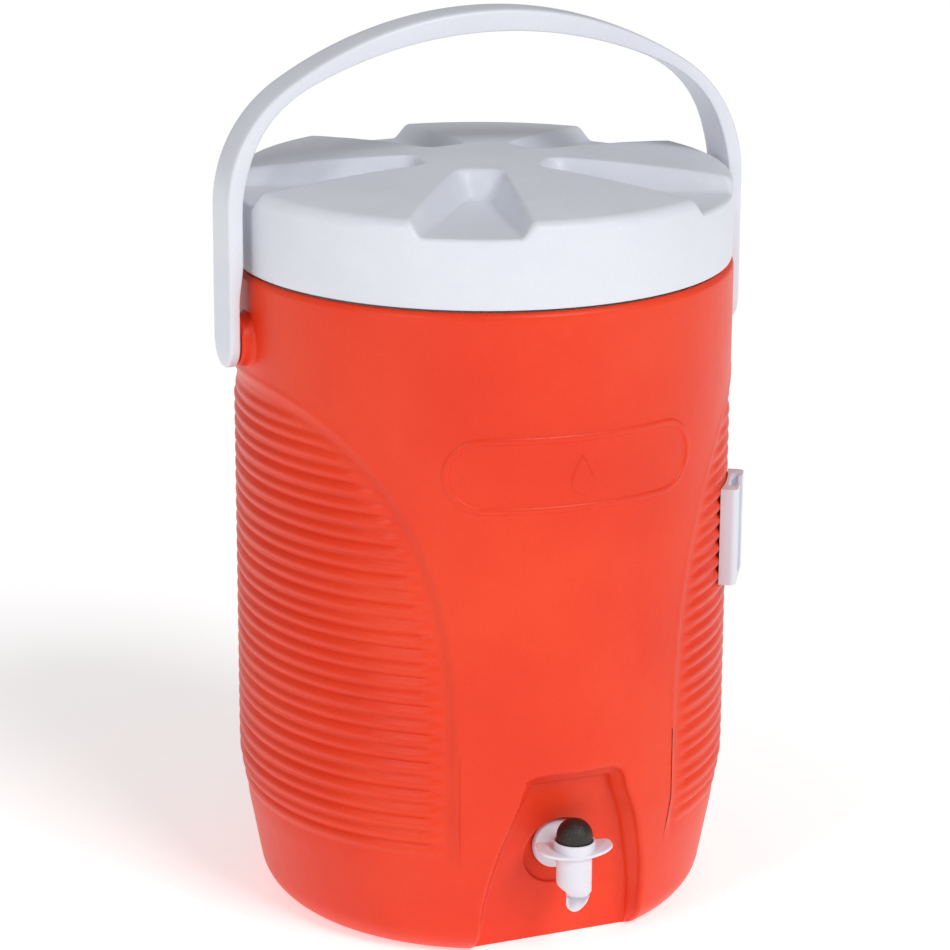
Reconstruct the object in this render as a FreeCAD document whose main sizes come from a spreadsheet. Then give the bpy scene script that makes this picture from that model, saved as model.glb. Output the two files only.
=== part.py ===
import FreeCAD, Part
import Sketcher
import math
import os
from FreeCAD import Placement, Rotation, Vector

# Insulated beverage dispenser: a round foam-filled jug with a screw lid, a swinging bail
# handle, a push-button spigot in a front recess and a side rail for a cup dispenser.
# Frame: origin at the middle of the base, +Z up, the spigot faces -Y, the handle turns about X.

os.makedirs("parts", exist_ok=True)
doc = FreeCAD.newDocument("BeverageDispenser")

# ---------------------------------------------------------------- driving dimensions (mm, degrees)
DIMENSIONS = [
    ("body_radius", 142.0, "outer radius of the jug's wall"),
    ("shell_wall", 3.5, "wall of the outer shell"),
    ("base_wall", 5.5, "thickness of the shell's floor"),
    ("shell_height", 377.0, "top of the shell, where the lid's seam is"),
    ("shoulder_round", 4.0, "rounding of the shell's top edge"),
    ("waist_height", 83.0, "where the wall starts to draw in towards the foot"),
    ("foot_height", 18.4, "top of the rounded foot"),
    ("foot_bend", 24.0, "radius of the rounded foot"),
    ("groove_depth", 2.5, "depth of the groove under the base"),
    ("plug_hole_radius", 12.0, "hole that the foam is filled through"),
    ("plug_head_radius", 15.0, "head of the foam plug"),
    ("plug_head", 1.6, "thickness of the foam plug's head"),
    ("plug_grip", 3.0, "how far the foam plug reaches past the shell's floor"),
    ("snug_fit", 0.1, "clearance of pieces that are pushed together"),
    ("tank_floor", 36.0, "height of the tank's floor"),
    ("tank_wall", 2.5, "wall of the inner tank"),
    ("tank_round", 12.0, "rounding between the tank's wall and floor"),
    ("gap", 0.3, "gap between foam and the walls round it"),
    ("rib_pitch", 8.22, "height of one rib of the side panels"),
    ("panel_half_angle", 62.5, "half of the angle that one ribbed panel covers"),
    ("panel_low", 63.0, "lower edge of the ribbed panels"),
    ("panel_spring", 109.0, "height where the panel's sides start to lean in"),
    ("panel_shape", 2.7, "exponent of the panel's rounded top"),
    ("recess_lean", 12.5, "forward lean of the recess floor"),
    ("recess_half_low", 48.3, "half width of the recess at the base"),
    ("recess_half_top", 30.5, "half width of the recess near its top"),
    ("recess_bend_height", 35.0, "height where the recess starts to narrow"),
    ("recess_top", 115.7, "top edge of the recess"),
    ("recess_corner", 9.0, "rounding of the recess's upper corners"),
    ("recess_bow", 220.0, "radius of the recess's bowed sides"),
    ("dish_radius", 21.0, "round seat for the spigot's flange"),
    ("badge_half_length", 74.0, "half length of the badge frame"),
    ("badge_half_height", 21.5, "half height of the badge frame"),
    ("badge_bar", 4.0, "width of the badge frame's raised line"),
    ("badge_relief", 0.8, "how far the badge stands out"),
    ("boss_radius", 14.7, "pivot boss on the shell"),
    ("pin_radius", 5.0, "shaft of the pivot pins"),
    ("pin_head_radius", 9.0, "head of the pivot pins"),
    ("pin_head", 2.4, "thickness of the pivot pin's head"),
    ("running_fit", 0.06, "radial clearance of shafts that turn or slide"),
    ("washer_radius", 12.0, "washers at the handle's pivots"),
    ("washer_thickness", 0.6, "thickness of those washers"),
    ("arm_thickness", 6.6, "thickness of the handle's arms"),
    ("strap_half_width", 15.0, "half width of the handle's strap"),
    ("grip_half_width", 12.5, "half width of the handle at its grip"),
    ("grip_thickness", 13.0, "height of the grip's section"),
    ("crown_radius", 220.0, "outer bend of the handle's crown"),
    ("shoulder_radius", 80.0, "outer bend of the handle's shoulders"),
    ("grip_radius", 252.0, "inner bend of the handle's crown"),
    ("inner_shoulder_radius", 77.0, "inner bend of the handle's shoulders"),
    ("lid_wall", 3.0, "thickness of the lid's top"),
    ("lid_skirt_wall", 3.5, "thickness of the lid's skirt"),
    ("lid_gap", 1.2, "seam between the shell and the lid"),
    ("lid_edge_round", 6.0, "rounding of the lid's edge"),
    ("notch_count", 5.0, "number of finger notches"),
    ("notch_start", 38.0, "inner end of the finger notches from the axis"),
    ("notch_half_inner", 11.5, "half width of a notch at its inner end"),
    ("notch_half_outer", 33.0, "half width of a notch at the lid's edge"),
    ("lid_clock", -115.0, "direction of the first notch when the lid is tight"),
    ("gasket_thickness", 3.3, "height of the lid's sealing ring"),
    ("plug_gap", 1.5, "gap between the lid's plug and the mouth"),
    ("plug_wall", 2.5, "wall of the lid's plug"),
    ("thread_lead", 24.0, "rise of the lid in one turn"),
    ("thread_starts", 3.0, "number of thread ridges"),
    ("thread_height", 3.0, "how far the neck's thread stands out"),
    ("thread_root", 3.4, "width of a thread ridge at its root"),
    ("thread_crest", 2.4, "width of a thread ridge at its crest"),
    ("lid_thread_height", 4.2, "how far the lid's thread stands in"),
    ("thread_bite", 0.8, "how deep a thread ridge is sunk into its wall"),
    ("thread_seat", 0.3, "lift of the lid's thread over the middle of the neck's"),
    ("neck_thread_turn", 150.0, "angle that each ridge on the neck covers"),
    ("lid_thread_turn", 110.0, "angle that each ridge in the lid covers"),
    ("spigot_height", 56.5, "height of the spigot's shank"),
    ("shank_radius", 7.9, "threaded shank through the wall"),
    ("shank_hole", 8.2, "hole for the shank"),
    ("water_radius", 4.0, "water way through the shank"),
    ("flange_radius", 15.0, "spigot's round flange"),
    ("flange_thickness", 2.5, "thickness of that flange"),
    ("outer_washer", 2.0, "rubber washer outside the wall"),
    ("outer_washer_radius", 14.0, "radius of the outer washer"),
    ("pad_radius", 19.0, "flat pad on the tank's wall round the shank"),
    ("inner_washer", 2.0, "rubber washer inside the tank"),
    ("inner_washer_radius", 15.0, "radius of the inner washer"),
    ("nut_radius", 15.6, "corner radius of the shank's nut"),
    ("nut_thickness", 8.0, "thickness of the shank's nut"),
    ("neck_tube_radius", 7.0, "tube between flange and barrel"),
    ("barrel_radius", 10.0, "outer radius of the spigot's barrel"),
    ("barrel_bore", 7.6, "bore of the barrel"),
    ("barrel_top", 64.0, "top of the barrel"),
    ("barrel_low", 46.0, "lower end of the barrel, and underside of the valve seat"),
    ("seat_thickness", 2.0, "thickness of the valve seat"),
    ("seat_hole", 3.4, "radius of the hole in the valve seat"),
    ("taper_low", 40.5, "lower end of the barrel's taper"),
    ("spout_radius", 7.0, "outer radius of the spout"),
    ("spout_bore", 5.5, "bore of the spout"),
    ("spout_tip", 26.0, "lowest point of the spout"),
    ("spout_cut_rise", 14.0, "height of the spout's slanting cut"),
    ("spout_cut_turn", 35.0, "direction that the slanting cut faces, from the front"),
    ("bonnet_plug_radius", 7.5, "bonnet's plug in the barrel"),
    ("bonnet_plug", 3.0, "length of that plug"),
    ("bonnet_floor", 2.0, "floor between the plug and the button's well"),
    ("collar_radius", 11.7, "outer radius of the button's collar"),
    ("collar_bore", 10.55, "inner radius of the button's collar"),
    ("collar_top", 72.0, "top of the button's collar"),
    ("wing_thickness", 2.0, "thickness of the finger wings"),
    ("wing_reach", 14.0, "where a wing's rounded end starts"),
    ("wing_half_width", 9.5, "half width of a wing at its end"),
    ("wing_end_round", 9.8, "rounding of a wing's end"),
    ("wing_bow", 41.0, "bow of the plate between the wings"),
    ("wing_curl", 70.0, "upward bend of the wings, as a radius"),
    ("wing_turn", -10.0, "turn of the wings when the bonnet is tight"),
    ("button_radius", 10.2, "outer radius of the push button"),
    ("button_wall", 1.8, "wall of the push button"),
    ("button_top", 84.5, "top of the push button"),
    ("button_low", 69.5, "lower edge of the push button"),
    ("button_ceiling", 76.0, "inside top of the push button"),
    ("stem_radius", 2.2, "valve stem"),
    ("stem_grip", 4.0, "length of stem inside the button"),
    ("stem_tip_radius", 1.25, "thin lower tip of the stem"),
    ("valve_radius", 4.7, "rubber valve under the seat"),
    ("valve_thickness", 3.0, "height of the rubber valve"),
    ("valve_edge", 1.5, "bevel of the rubber valve's lower edge"),
    ("valve_grip", 1.4, "length of stem tip inside the rubber valve"),
    ("nut_sides", 6.0, "sides of the shank's nut"),
    ("seal_section", 0.9, "section radius of the stem's seal"),
    ("spring_radius", 4.6, "mean radius of the return spring"),
    ("spring_wire", 0.45, "wire radius of the return spring"),
    ("spring_turns", 5.0, "turns of the return spring"),
    ("bracket_angle", 58.5, "direction of the side rail, from the front towards +X"),
    ("bracket_low", 193.4, "lower end of the side rail"),
    ("bracket_height", 56.8, "height of the side rail"),
    ("bracket_half_width", 21.0, "half width of the side rail"),
    ("bracket_corner", 3.5, "rounding of the rail's outer corners"),
    ("slot_half_mouth", 8.0, "half width of the rail's slot at its mouth"),
    ("slot_half_inside", 12.0, "half width of the rail's slot inside"),
    ("slot_depth", 6.4, "depth of the rail's slot"),
    ("slot_lip", 2.2, "thickness of the lips that hold the cup dispenser"),
    ("screw_radius", 1.9, "shaft of the rail's screws"),
    ("screw_head_radius", 3.9, "head of the rail's screws"),
    ("screw_head", 1.6, "thickness of the screw heads"),
    ("screw_length", 11.0, "length of the screw shafts"),
    ("screw_spacing", 34.0, "distance between the two screws"),
]

# Places that follow another size: name, size followed, distance from it (mm), meaning.
FOLLOWING = [
    ("neck_top", "shell_height", 31.0, "height of the mouth's rim"),
    ("neck_skirt_low", "shell_height", -6.0, "lower end of the neck's outer skirt"),
    ("tank_taper_top", "shell_height", -11.0, "height where the tank's taper ends"),
    ("lid_edge", "shell_height", 48.4, "height of the lid's rounded edge"),
    ("lid_top", "shell_height", 56.0, "middle of the lid's crowned top"),
    ("notch_floor", "shell_height", 40.0, "floor of the finger notches"),
    ("plug_floor", "shell_height", 17.5, "underside of the lid's plug"),
    ("thread_base", "shell_height", 8.0, "lower end of the neck's thread"),
    ("pivot_height", "shell_height", -37.0, "height of the handle's pivot"),
    ("handle_top", "shell_height", 140.0, "top of the handle"),
    ("badge_height", "shell_height", -90.0, "middle of the raised badge frame"),
    ("panel_top", "shell_height", -58.0, "top of the ribbed panels"),
    ("foot_radius", "body_radius", -12.0, "radius at the top of the rounded foot"),
    ("base_radius", "body_radius", -26.5, "radius of the flat base"),
    ("groove_outer", "body_radius", -42.0, "outer radius of the groove under the base"),
    ("groove_inner", "groove_outer", -40.0, "inner radius of the groove under the base"),
    ("tank_low_radius", "body_radius", -43.0, "inside radius at the tank's floor"),
    ("tank_top_radius", "body_radius", -33.0, "inside radius at the mouth"),
    ("neck_radius", "body_radius", -9.5, "outside radius of the neck that the lid screws on"),
    ("rib_crest", "body_radius", -0.4, "radius over the ribs"),
    ("rib_valley", "body_radius", -1.6, "radius between the ribs"),
    ("boss_face", "body_radius", 6.8, "distance of the boss's face from the axis"),
    ("boss_root", "body_radius", -18.0, "inner end of the pivot boss"),
    ("pin_root", "body_radius", -16.0, "inner end of the pivot pins"),
    ("arm_inside", "body_radius", 7.6, "inner face of the handle's arms from the axis"),
    ("lid_radius", "body_radius", -1.0, "outer radius of the lid"),
    ("gasket_inner", "body_radius", -30.0, "inner radius of the sealing ring"),
    ("gasket_outer", "body_radius", -11.0, "outer radius of the sealing ring"),
    ("spigot_reach", "body_radius", -4.0, "distance of the spigot's barrel from the jug's axis"),
    ("recess_depth", "body_radius", -38.3, "distance of the recess floor from the axis, at the base"),
    ("dish_plane", "body_radius", -31.5, "distance of the round seat from the axis"),
    ("shank_end", "body_radius", -59.0, "inner end of the shank from the jug's axis"),
    ("pad_plane", "body_radius", -45.0, "inner face of that pad from the jug's axis"),
    ("bracket_face", "body_radius", 8.0, "outer face of the side rail from the jug's axis"),
]


class Size:
    """A length or an angle: its number, and the sheet expression that gives it."""

    def __init__(self, value, text):
        self.value = value
        self.text = text

    def __add__(self, other):
        other = as_size(other)
        return Size(self.value + other.value, "(" + self.text + " + " + other.text + ")")

    def __radd__(self, other):
        return as_size(other) + self

    def __sub__(self, other):
        other = as_size(other)
        return Size(self.value - other.value, "(" + self.text + " - " + other.text + ")")

    def __rsub__(self, other):
        return as_size(other) - self

    def __mul__(self, other):
        other = as_size(other)
        return Size(self.value * other.value, "(" + self.text + " * " + other.text + ")")

    def __rmul__(self, other):
        return as_size(other) * self

    def __truediv__(self, other):
        other = as_size(other)
        return Size(self.value / other.value, "(" + self.text + " / " + other.text + ")")

    def __neg__(self):
        return Size(-self.value, "(0 - " + self.text + ")")


def as_size(thing):
    """A Size as it is, and a plain number as a Size."""
    if isinstance(thing, Size):
        return thing
    return Size(float(thing), "(" + repr(float(thing)) + ")")


def root(size):
    """Square root of a Size."""
    return Size(math.sqrt(size.value), "sqrt(" + size.text + ")")


sheet = doc.addObject("Spreadsheet::Sheet", "Sizes")
size = {}
for row, (alias, number, meaning) in enumerate(DIMENSIONS, start=1):
    sheet.set("A%d" % row, meaning)
    sheet.set("B%d" % row, str(number))
    sheet.setAlias("B%d" % row, alias)
    size[alias] = Size(number, "Sizes." + alias)
for row, (alias, followed, offset, meaning) in enumerate(FOLLOWING, start=len(DIMENSIONS) + 1):
    sheet.set("A%d" % row, meaning)
    sheet.set("B%d" % row, str(offset))
    sheet.setAlias("B%d" % row, alias + "_offset")
    sheet.set("C%d" % row, "=%s + %s_offset" % (followed, alias))
    sheet.setAlias("C%d" % row, alias)
    size[alias] = Size(size[followed].value + offset, "Sizes." + alias)
doc.recompute()

X_AXIS = Vector(1, 0, 0)
Y_AXIS = Vector(0, 1, 0)
Z_AXIS = Vector(0, 0, 1)
FULL_TURN = 360.0
REACH = 60.0          # length of cutters that only have to reach past a face


# ---------------------------------------------------------------- helpers
def place(item, x=0, y=0, z=0, axis=Z_AXIS, angle=0):
    """Give an object a Placement that follows the sheet."""
    x, y, z, angle = as_size(x), as_size(y), as_size(z), as_size(angle)
    item.Placement = Placement(Vector(x.value, y.value, z.value), Rotation(axis, angle.value))
    for name, value in (("x", x), ("y", y), ("z", z)):
        item.setExpression("Placement.Base." + name, value.text)
    if angle.value:
        item.setExpression("Placement.Rotation.Angle", angle.text)
    return item


def bind(item, **values):
    """Tie properties of an object to sizes of the sheet."""
    for name, value in values.items():
        item.setExpression(name, as_size(value).text)
    return item


def cylinder(name, radius, height, x=0, y=0, z=0, axis=Z_AXIS, angle=0):
    """A cylinder that stands on the given point."""
    item = doc.addObject("Part::Cylinder", name)
    bind(item, Radius=radius, Height=height)
    return place(item, x, y, z, axis, angle)


def forward_cylinder(name, radius, start, end, z, x=0):
    """A cylinder along -Y, from one distance in front of the jug's axis to another."""
    return cylinder(name, radius, end - start, x, -as_size(start), z, X_AXIS, 90)


def side_cylinder(name, radius, start, end, z, side):
    """A cylinder along +X (side 1) or -X (side -1), from one distance to another."""
    return cylinder(name, radius, end - start, side * start, 0, z, Y_AXIS, 90 * side)


def cut(name, base, *tools):
    """Base less every tool."""
    item = doc.addObject("Part::Cut", name)
    item.Base = base
    item.Tool = tools[0] if len(tools) == 1 else fuse(name + "_tools", *tools)
    return item


def fuse(name, *pieces):
    """All pieces as one."""
    item = doc.addObject("Part::MultiFuse", name)
    item.Shapes = list(pieces)
    return item


def common(name, *pieces):
    """What all pieces share."""
    item = doc.addObject("Part::MultiCommon", name)
    item.Shapes = list(pieces)
    return item


def start_body(name, plane_role):
    """A PartDesign body with an empty sketch on one of its own origin planes."""
    body = doc.addObject("PartDesign::Body", name)
    return body, add_sketch(body, plane_role)


def add_sketch(body, plane_role, lift=0):
    """An empty sketch of a body, lifted off its origin plane."""
    sketch = body.newObject("Sketcher::SketchObject", body.Name + "_sketch")
    plane = [item for item in body.Origin.OriginFeatures if item.Role == plane_role][0]
    sketch.AttachmentSupport = (plane, "")
    sketch.MapMode = "FlatFace"
    if as_size(lift).value:
        sketch.AttachmentOffset = Placement(Vector(0, 0, lift.value), Rotation())
        sketch.setExpression("AttachmentOffset.Base.z", lift.text)
    return sketch


def draw(sketch, corners):
    """A closed outline. A corner is (x, y), or (x, y, bend): bend is the radius of the arc that
    leaves the corner, positive where the arc swells to the right of the way it runs."""
    points = [(as_size(corner[0]), as_size(corner[1])) for corner in corners]
    ends = []
    for index, corner in enumerate(corners):
        start = Vector(points[index][0].value, points[index][1].value, 0)
        stop_point = points[(index + 1) % len(points)]
        stop = Vector(stop_point[0].value, stop_point[1].value, 0)
        if len(corner) == 2:
            edge = sketch.addGeometry(Part.LineSegment(start, stop), False)
        else:
            bend = as_size(corner[2])
            chord = stop - start
            half = chord.Length / 2
            bulge = abs(bend.value) - math.sqrt(max(bend.value ** 2 - half ** 2, 0))
            right = Vector(chord.y, -chord.x, 0).normalize() * math.copysign(bulge, bend.value)
            middle = (start + stop) / 2 + right
            edge = sketch.addGeometry(Part.Arc(start, middle, stop), False)
            swell = sketch.addConstraint(Sketcher.Constraint("Radius", edge, abs(bend.value)))
            sketch.setExpression("Constraints[%d]" % swell, bend.text if bend.value > 0 else (-bend).text)
        first = 1 if (sketch.getPoint(edge, 1) - start).Length < 1e-6 else 2
        ends.append((edge, first, 3 - first))
    for index, (edge, first, last) in enumerate(ends):
        after = ends[(index + 1) % len(ends)]
        sketch.addConstraint(Sketcher.Constraint("Coincident", edge, last, after[0], after[1]))
        for kind, value in zip(("DistanceX", "DistanceY"), points[index]):
            number = sketch.addConstraint(Sketcher.Constraint(kind, edge, first, value.value))
            sketch.setExpression("Constraints[%d]" % number, value.text)


def turned(name, corners, x=0, y=0):
    """A body of revolution about the vertical line through (x, y). Corners are (radius, height)."""
    body, sketch = start_body(name, "XZ_Plane")
    draw(sketch, corners)
    spin = body.newObject("PartDesign::Revolution", name + "_turned")
    spin.Profile = sketch
    spin.ReferenceAxis = (sketch, ["V_Axis"])
    spin.Angle = FULL_TURN
    body.Tip = spin
    return place(body, x, y, 0)


def padded(name, plane_role, corners, length, both_ways=False):
    """A body made by padding an outline off one of its origin planes."""
    body, sketch = start_body(name, plane_role)
    draw(sketch, corners)
    pad = body.newObject("PartDesign::Pad", name + "_pad")
    pad.Profile = sketch
    if both_ways:
        pad.SideType = "Symmetric"
    bind(pad, Length=length)
    body.Tip = pad
    return body


def add_notches(body, corners, floor):
    """Cut an outline upwards from a height, and repeat it round the axis."""
    sketch = add_sketch(body, "XY_Plane", floor)
    draw(sketch, corners)
    pocket = body.newObject("PartDesign::Pocket", body.Name + "_notch")
    pocket.Profile = sketch
    pocket.Reversed = True
    pocket.Length = REACH
    ring = body.newObject("PartDesign::PolarPattern", body.Name + "_notches")
    ring.Originals = [pocket]
    ring.Axis = (sketch, ["N_Axis"])
    ring.Angle = FULL_TURN
    bind(ring, Occurrences=size["notch_count"])
    body.Tip = ring


def finish_piece(item, label):
    """Name a finished sub-part."""
    item.Label = label
    finished.append(item)
    return item


finished = []


# ---------------------------------------------------------------- sizes that several pieces share
inside_radius = size["body_radius"] - size["shell_wall"]
recess_inside = size["recess_depth"] - size["shell_wall"]
dish_inside = size["dish_plane"] - size["shell_wall"]
lid_low = size["shell_height"] + size["lid_gap"]
skirt_inside = size["lid_radius"] - size["lid_skirt_wall"]
notch_underside = size["notch_floor"] - size["lid_wall"]
barrel_y = -size["spigot_reach"]
well_floor = size["barrel_top"] + size["bonnet_floor"]


def recess_outline(grow, low):
    """Front view of the recess, grown by a wall."""
    wide = size["recess_half_low"] + grow
    narrow = size["recess_half_top"] + grow
    corner = size["recess_corner"] + grow
    top = size["recess_top"] + grow
    bow = size["recess_bow"]
    bend = size["recess_bend_height"]
    shoulder = top - corner
    return [(-wide, low), (wide, low), (wide, bend, bow), (narrow, shoulder, corner),
            (narrow - corner, top), (corner - narrow, top, corner), (-narrow, shoulder, bow),
            (-wide, bend)]


def recess_block(name, grow):
    """The recess as a solid, leaning like its floor; grown, it is the recess with its wall."""
    block = padded(name, "XZ_Plane", recess_outline(grow, as_size(-REACH / 2)), REACH)
    return place(block, 0, as_size(grow) - size["recess_depth"], 0, X_AXIS, size["recess_lean"])


def cavity_outline(clear):
    """Half section of the space inside the shell, drawn in by a clearance."""
    wall = size["shell_wall"] + clear
    low = size["base_wall"] + clear
    return [(0, low), (size["base_radius"] - clear, low, size["foot_bend"]),
            (size["foot_radius"] - wall, size["foot_height"] + 1),
            (size["body_radius"] - wall, size["waist_height"])]


def panel_prism():
    """Both ribbed panels seen along X: straight sides and a rounded top, as one bar along X."""
    radius = size["body_radius"].value
    half_angle = size["panel_half_angle"].value
    spring = size["panel_spring"].value
    rise = size["panel_top"].value - spring
    low = size["panel_low"].value
    shape = size["panel_shape"].value
    steps = 24
    points = []
    for step in range(steps + 1):
        share = -1 + 2 * step / steps
        lean = math.copysign(1 - (1 - abs(share)) ** 2, share)
        height = spring + rise * (1 - abs(lean) ** shape) ** (1 / shape)
        points.append(Vector(0, radius * math.sin(math.radians(half_angle * lean)), height))
    curve = Part.BSplineCurve()
    curve.interpolate(points)
    left, right = points[0], points[-1]
    left_foot, right_foot = Vector(0, left.y, low), Vector(0, right.y, low)
    rails = [Part.makeLine(right, right_foot), Part.makeLine(right_foot, left_foot),
             Part.makeLine(left_foot, left)]
    face = Part.Face(Part.Wire([curve.toShape()] + rails))
    bar = doc.addObject("Part::Feature", "panel_bar")
    bar.Shape = face.extrude(Vector(2 * radius + REACH, 0, 0))
    bar.Placement = Placement(Vector(-radius - REACH / 2, 0, 0), Rotation())
    return bar


def ribbed_core():
    """A solid of revolution whose wall is a stack of rounded horizontal ribs."""
    valley = size["rib_valley"].value
    crest = size["rib_crest"].value
    pitch = size["rib_pitch"].value
    low = size["panel_low"].value
    count = math.ceil((size["panel_top"].value - low) / pitch) + 1
    edges = []
    for rib in range(count):
        bottom = low + rib * pitch
        ends = [Vector(valley, 0, bottom), Vector(crest, 0, bottom + pitch / 2),
                Vector(valley, 0, bottom + pitch)]
        edges.append(Part.Arc(*ends).toShape())
    top = low + count * pitch
    edges.append(Part.makeLine(Vector(valley, 0, top), Vector(0, 0, top)))
    edges.append(Part.makeLine(Vector(0, 0, top), Vector(0, 0, low)))
    edges.append(Part.makeLine(Vector(0, 0, low), Vector(valley, 0, low)))
    core = doc.addObject("Part::Feature", "ribbed_core")
    core.Shape = Part.Face(Part.Wire(edges)).revolve(Vector(), Z_AXIS, FULL_TURN)
    return core


def badge():
    """A plain raised frame with rounded ends, and a drop in its middle."""
    middle = size["badge_height"]

    def stadium(inset):
        end = size["badge_half_length"] - size["badge_half_height"]
        half = size["badge_half_height"] - inset
        return [(-end, middle - half), (end, middle - half, half), (end + half, middle, half),
                (end, middle + half), (-end, middle + half, half), (-end - half, middle, half)]

    frame = cut("badge_frame", padded("badge_outside", "XZ_Plane", stadium(0), size["body_radius"] * 2),
                padded("badge_inside", "XZ_Plane", stadium(size["badge_bar"]), size["body_radius"] * 2))
    drop_radius = size["badge_half_height"] / 3
    low = middle - drop_radius / 2
    drop = [(-drop_radius, low, drop_radius), (0, low - drop_radius, drop_radius),
            (drop_radius, low, drop_radius * 3), (0, middle + drop_radius * 1.6, drop_radius * 3)]
    drop_bar = padded("badge_drop", "XZ_Plane", drop, size["body_radius"] * 2)
    ring = cylinder("badge_skin", size["body_radius"] + size["badge_relief"],
                    size["badge_half_height"] * 4, 0, 0, middle - size["badge_half_height"] * 2)
    core = cylinder("badge_core", size["body_radius"] - 1, size["badge_half_height"] * 6,
                    0, 0, middle - size["badge_half_height"] * 3)
    return common("badge", fuse("badge_lines", frame, drop_bar), cut("badge_ring", ring, core))


def screw_row(name, radius, start, end):
    """Two cylinders for the side rail's screws, from one distance to another."""
    middle = size["bracket_low"] + size["bracket_height"] / 2
    half = size["screw_spacing"] / 2
    pair = [forward_cylinder(name + "_low", radius, start, end, middle - half),
            forward_cylinder(name + "_high", radius, start, end, middle + half)]
    return place(fuse(name, *pair), 0, 0, 0, Z_AXIS, size["bracket_angle"])


# ---------------------------------------------------------------- shell, tank and foam
def make_outer_shell():
    """Blow-moulded outer shell: ribbed sides, front recess, pivot bosses, open mouth."""
    radius, height = size["body_radius"], size["shell_height"]
    edge = size["shoulder_round"]
    blank = turned("shell_blank", [
        (0, 0), (size["base_radius"], 0, size["foot_bend"]), (size["foot_radius"], size["foot_height"]),
        (radius, size["waist_height"]), (radius, height - edge, edge), (radius - edge, height),
        (0, height)])
    beside_ribs = cut("beside_ribs", panel_prism(), ribbed_core())
    bosses = [side_cylinder("boss_" + word, size["boss_radius"], size["boss_root"],
                            size["boss_face"], size["pivot_height"], side)
              for word, side in (("right", 1), ("left", -1))]
    cavity = turned("cavity_blank", cavity_outline(as_size(0)) + [
        (inside_radius, height - size["shell_wall"]), (0, height - size["shell_wall"])])
    dish_back = forward_cylinder("dish_back", size["dish_radius"] + size["shell_wall"], dish_inside,
                                 size["body_radius"], size["spigot_height"])
    cavity = cut("cavity", cavity, recess_block("recess_back", size["shell_wall"]), dish_back, *bosses)
    solid = fuse("shell_solid", cut("ribbed_blank", blank, beside_ribs), badge(), *bosses)
    mouth = cylinder("mouth", size["neck_radius"] + size["running_fit"], REACH, 0, 0,
                     height - size["shell_wall"] * 2)
    dish = forward_cylinder("dish", size["dish_radius"], size["dish_plane"],
                            size["body_radius"], size["spigot_height"])
    shank_way = forward_cylinder("shell_shank_hole", size["shank_hole"], dish_inside - REACH / 6,
                                 size["dish_plane"] + 1, size["spigot_height"])
    pin_ways = [side_cylinder("pin_way_" + word, size["pin_radius"] + size["running_fit"],
                              size["pin_root"] - 1, size["boss_face"] + 1, size["pivot_height"], side)
                for word, side in (("right", 1), ("left", -1))]
    groove = cut("base_groove",
                 cylinder("groove_out", size["groove_outer"], size["groove_depth"]),
                 cylinder("groove_in", size["groove_inner"], size["groove_depth"]))
    plug_way = cylinder("plug_way", size["plug_hole_radius"], size["base_wall"] * 2, 0,
                        (size["groove_inner"] + size["groove_outer"]) / 2, 0)
    screw_ways = screw_row("screw_ways", size["screw_radius"] + size["running_fit"],
                           inside_radius - 3, size["body_radius"] + 2)
    return finish_piece(cut("shell", solid, cavity, recess_block("recess", as_size(0)), mouth, dish,
                            shank_way, groove, plug_way, screw_ways, *pin_ways), "outer_shell")


def make_foam_plug():
    """Push-in plug that closes the hole the foam was filled through."""
    hole = size["plug_hole_radius"] - size["snug_fit"]
    ceiling, tip = size["groove_depth"], size["base_wall"] + size["plug_grip"]
    head = ceiling - size["plug_head"]
    plug = turned("foam_plug", [
        (0, head), (size["plug_head_radius"], head), (size["plug_head_radius"], ceiling),
        (hole, ceiling), (hole, tip), (0, tip)], 0, (size["groove_inner"] + size["groove_outer"]) / 2)
    return finish_piece(plug, "foam_fill_plug")


def thread_ridges(name, radius, crest_step, base, turn_degrees):
    """Helical ridges of trapezoid section on a round wall. crest_step is + outwards, - inwards."""
    lead = size["thread_lead"].value
    starts = int(size["thread_starts"].value)
    half_root = size["thread_root"].value / 2
    half_crest = size["thread_crest"].value / 2
    bite = math.copysign(size["thread_bite"].value, crest_step)
    helix = Part.makeHelix(lead, lead * turn_degrees / FULL_TURN, radius)
    corners = [Vector(radius - bite, 0, -half_root), Vector(radius + crest_step, 0, -half_crest),
               Vector(radius + crest_step, 0, half_crest), Vector(radius - bite, 0, half_root)]
    section = Part.makePolygon(corners + corners[:1])
    sweep = Part.BRepOffsetAPI.MakePipeShell(Part.Wire(helix.Edges))
    sweep.setFrenetMode(True)
    sweep.setAuxiliarySpine(Part.Wire(Part.makeLine(Vector(), Vector(0, 0, lead)).Edges), True, 0)
    sweep.add(section)
    sweep.build()
    sweep.makeSolid()
    ridges = []
    for start in range(starts):
        ridge = sweep.shape().copy()
        ridge.rotate(Vector(), Z_AXIS, start * FULL_TURN / starts)
        ridges.append(ridge.translated(Vector(0, 0, base)))
    item = doc.addObject("Part::Feature", name)
    item.Shape = Part.makeCompound(ridges)
    return item


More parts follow.
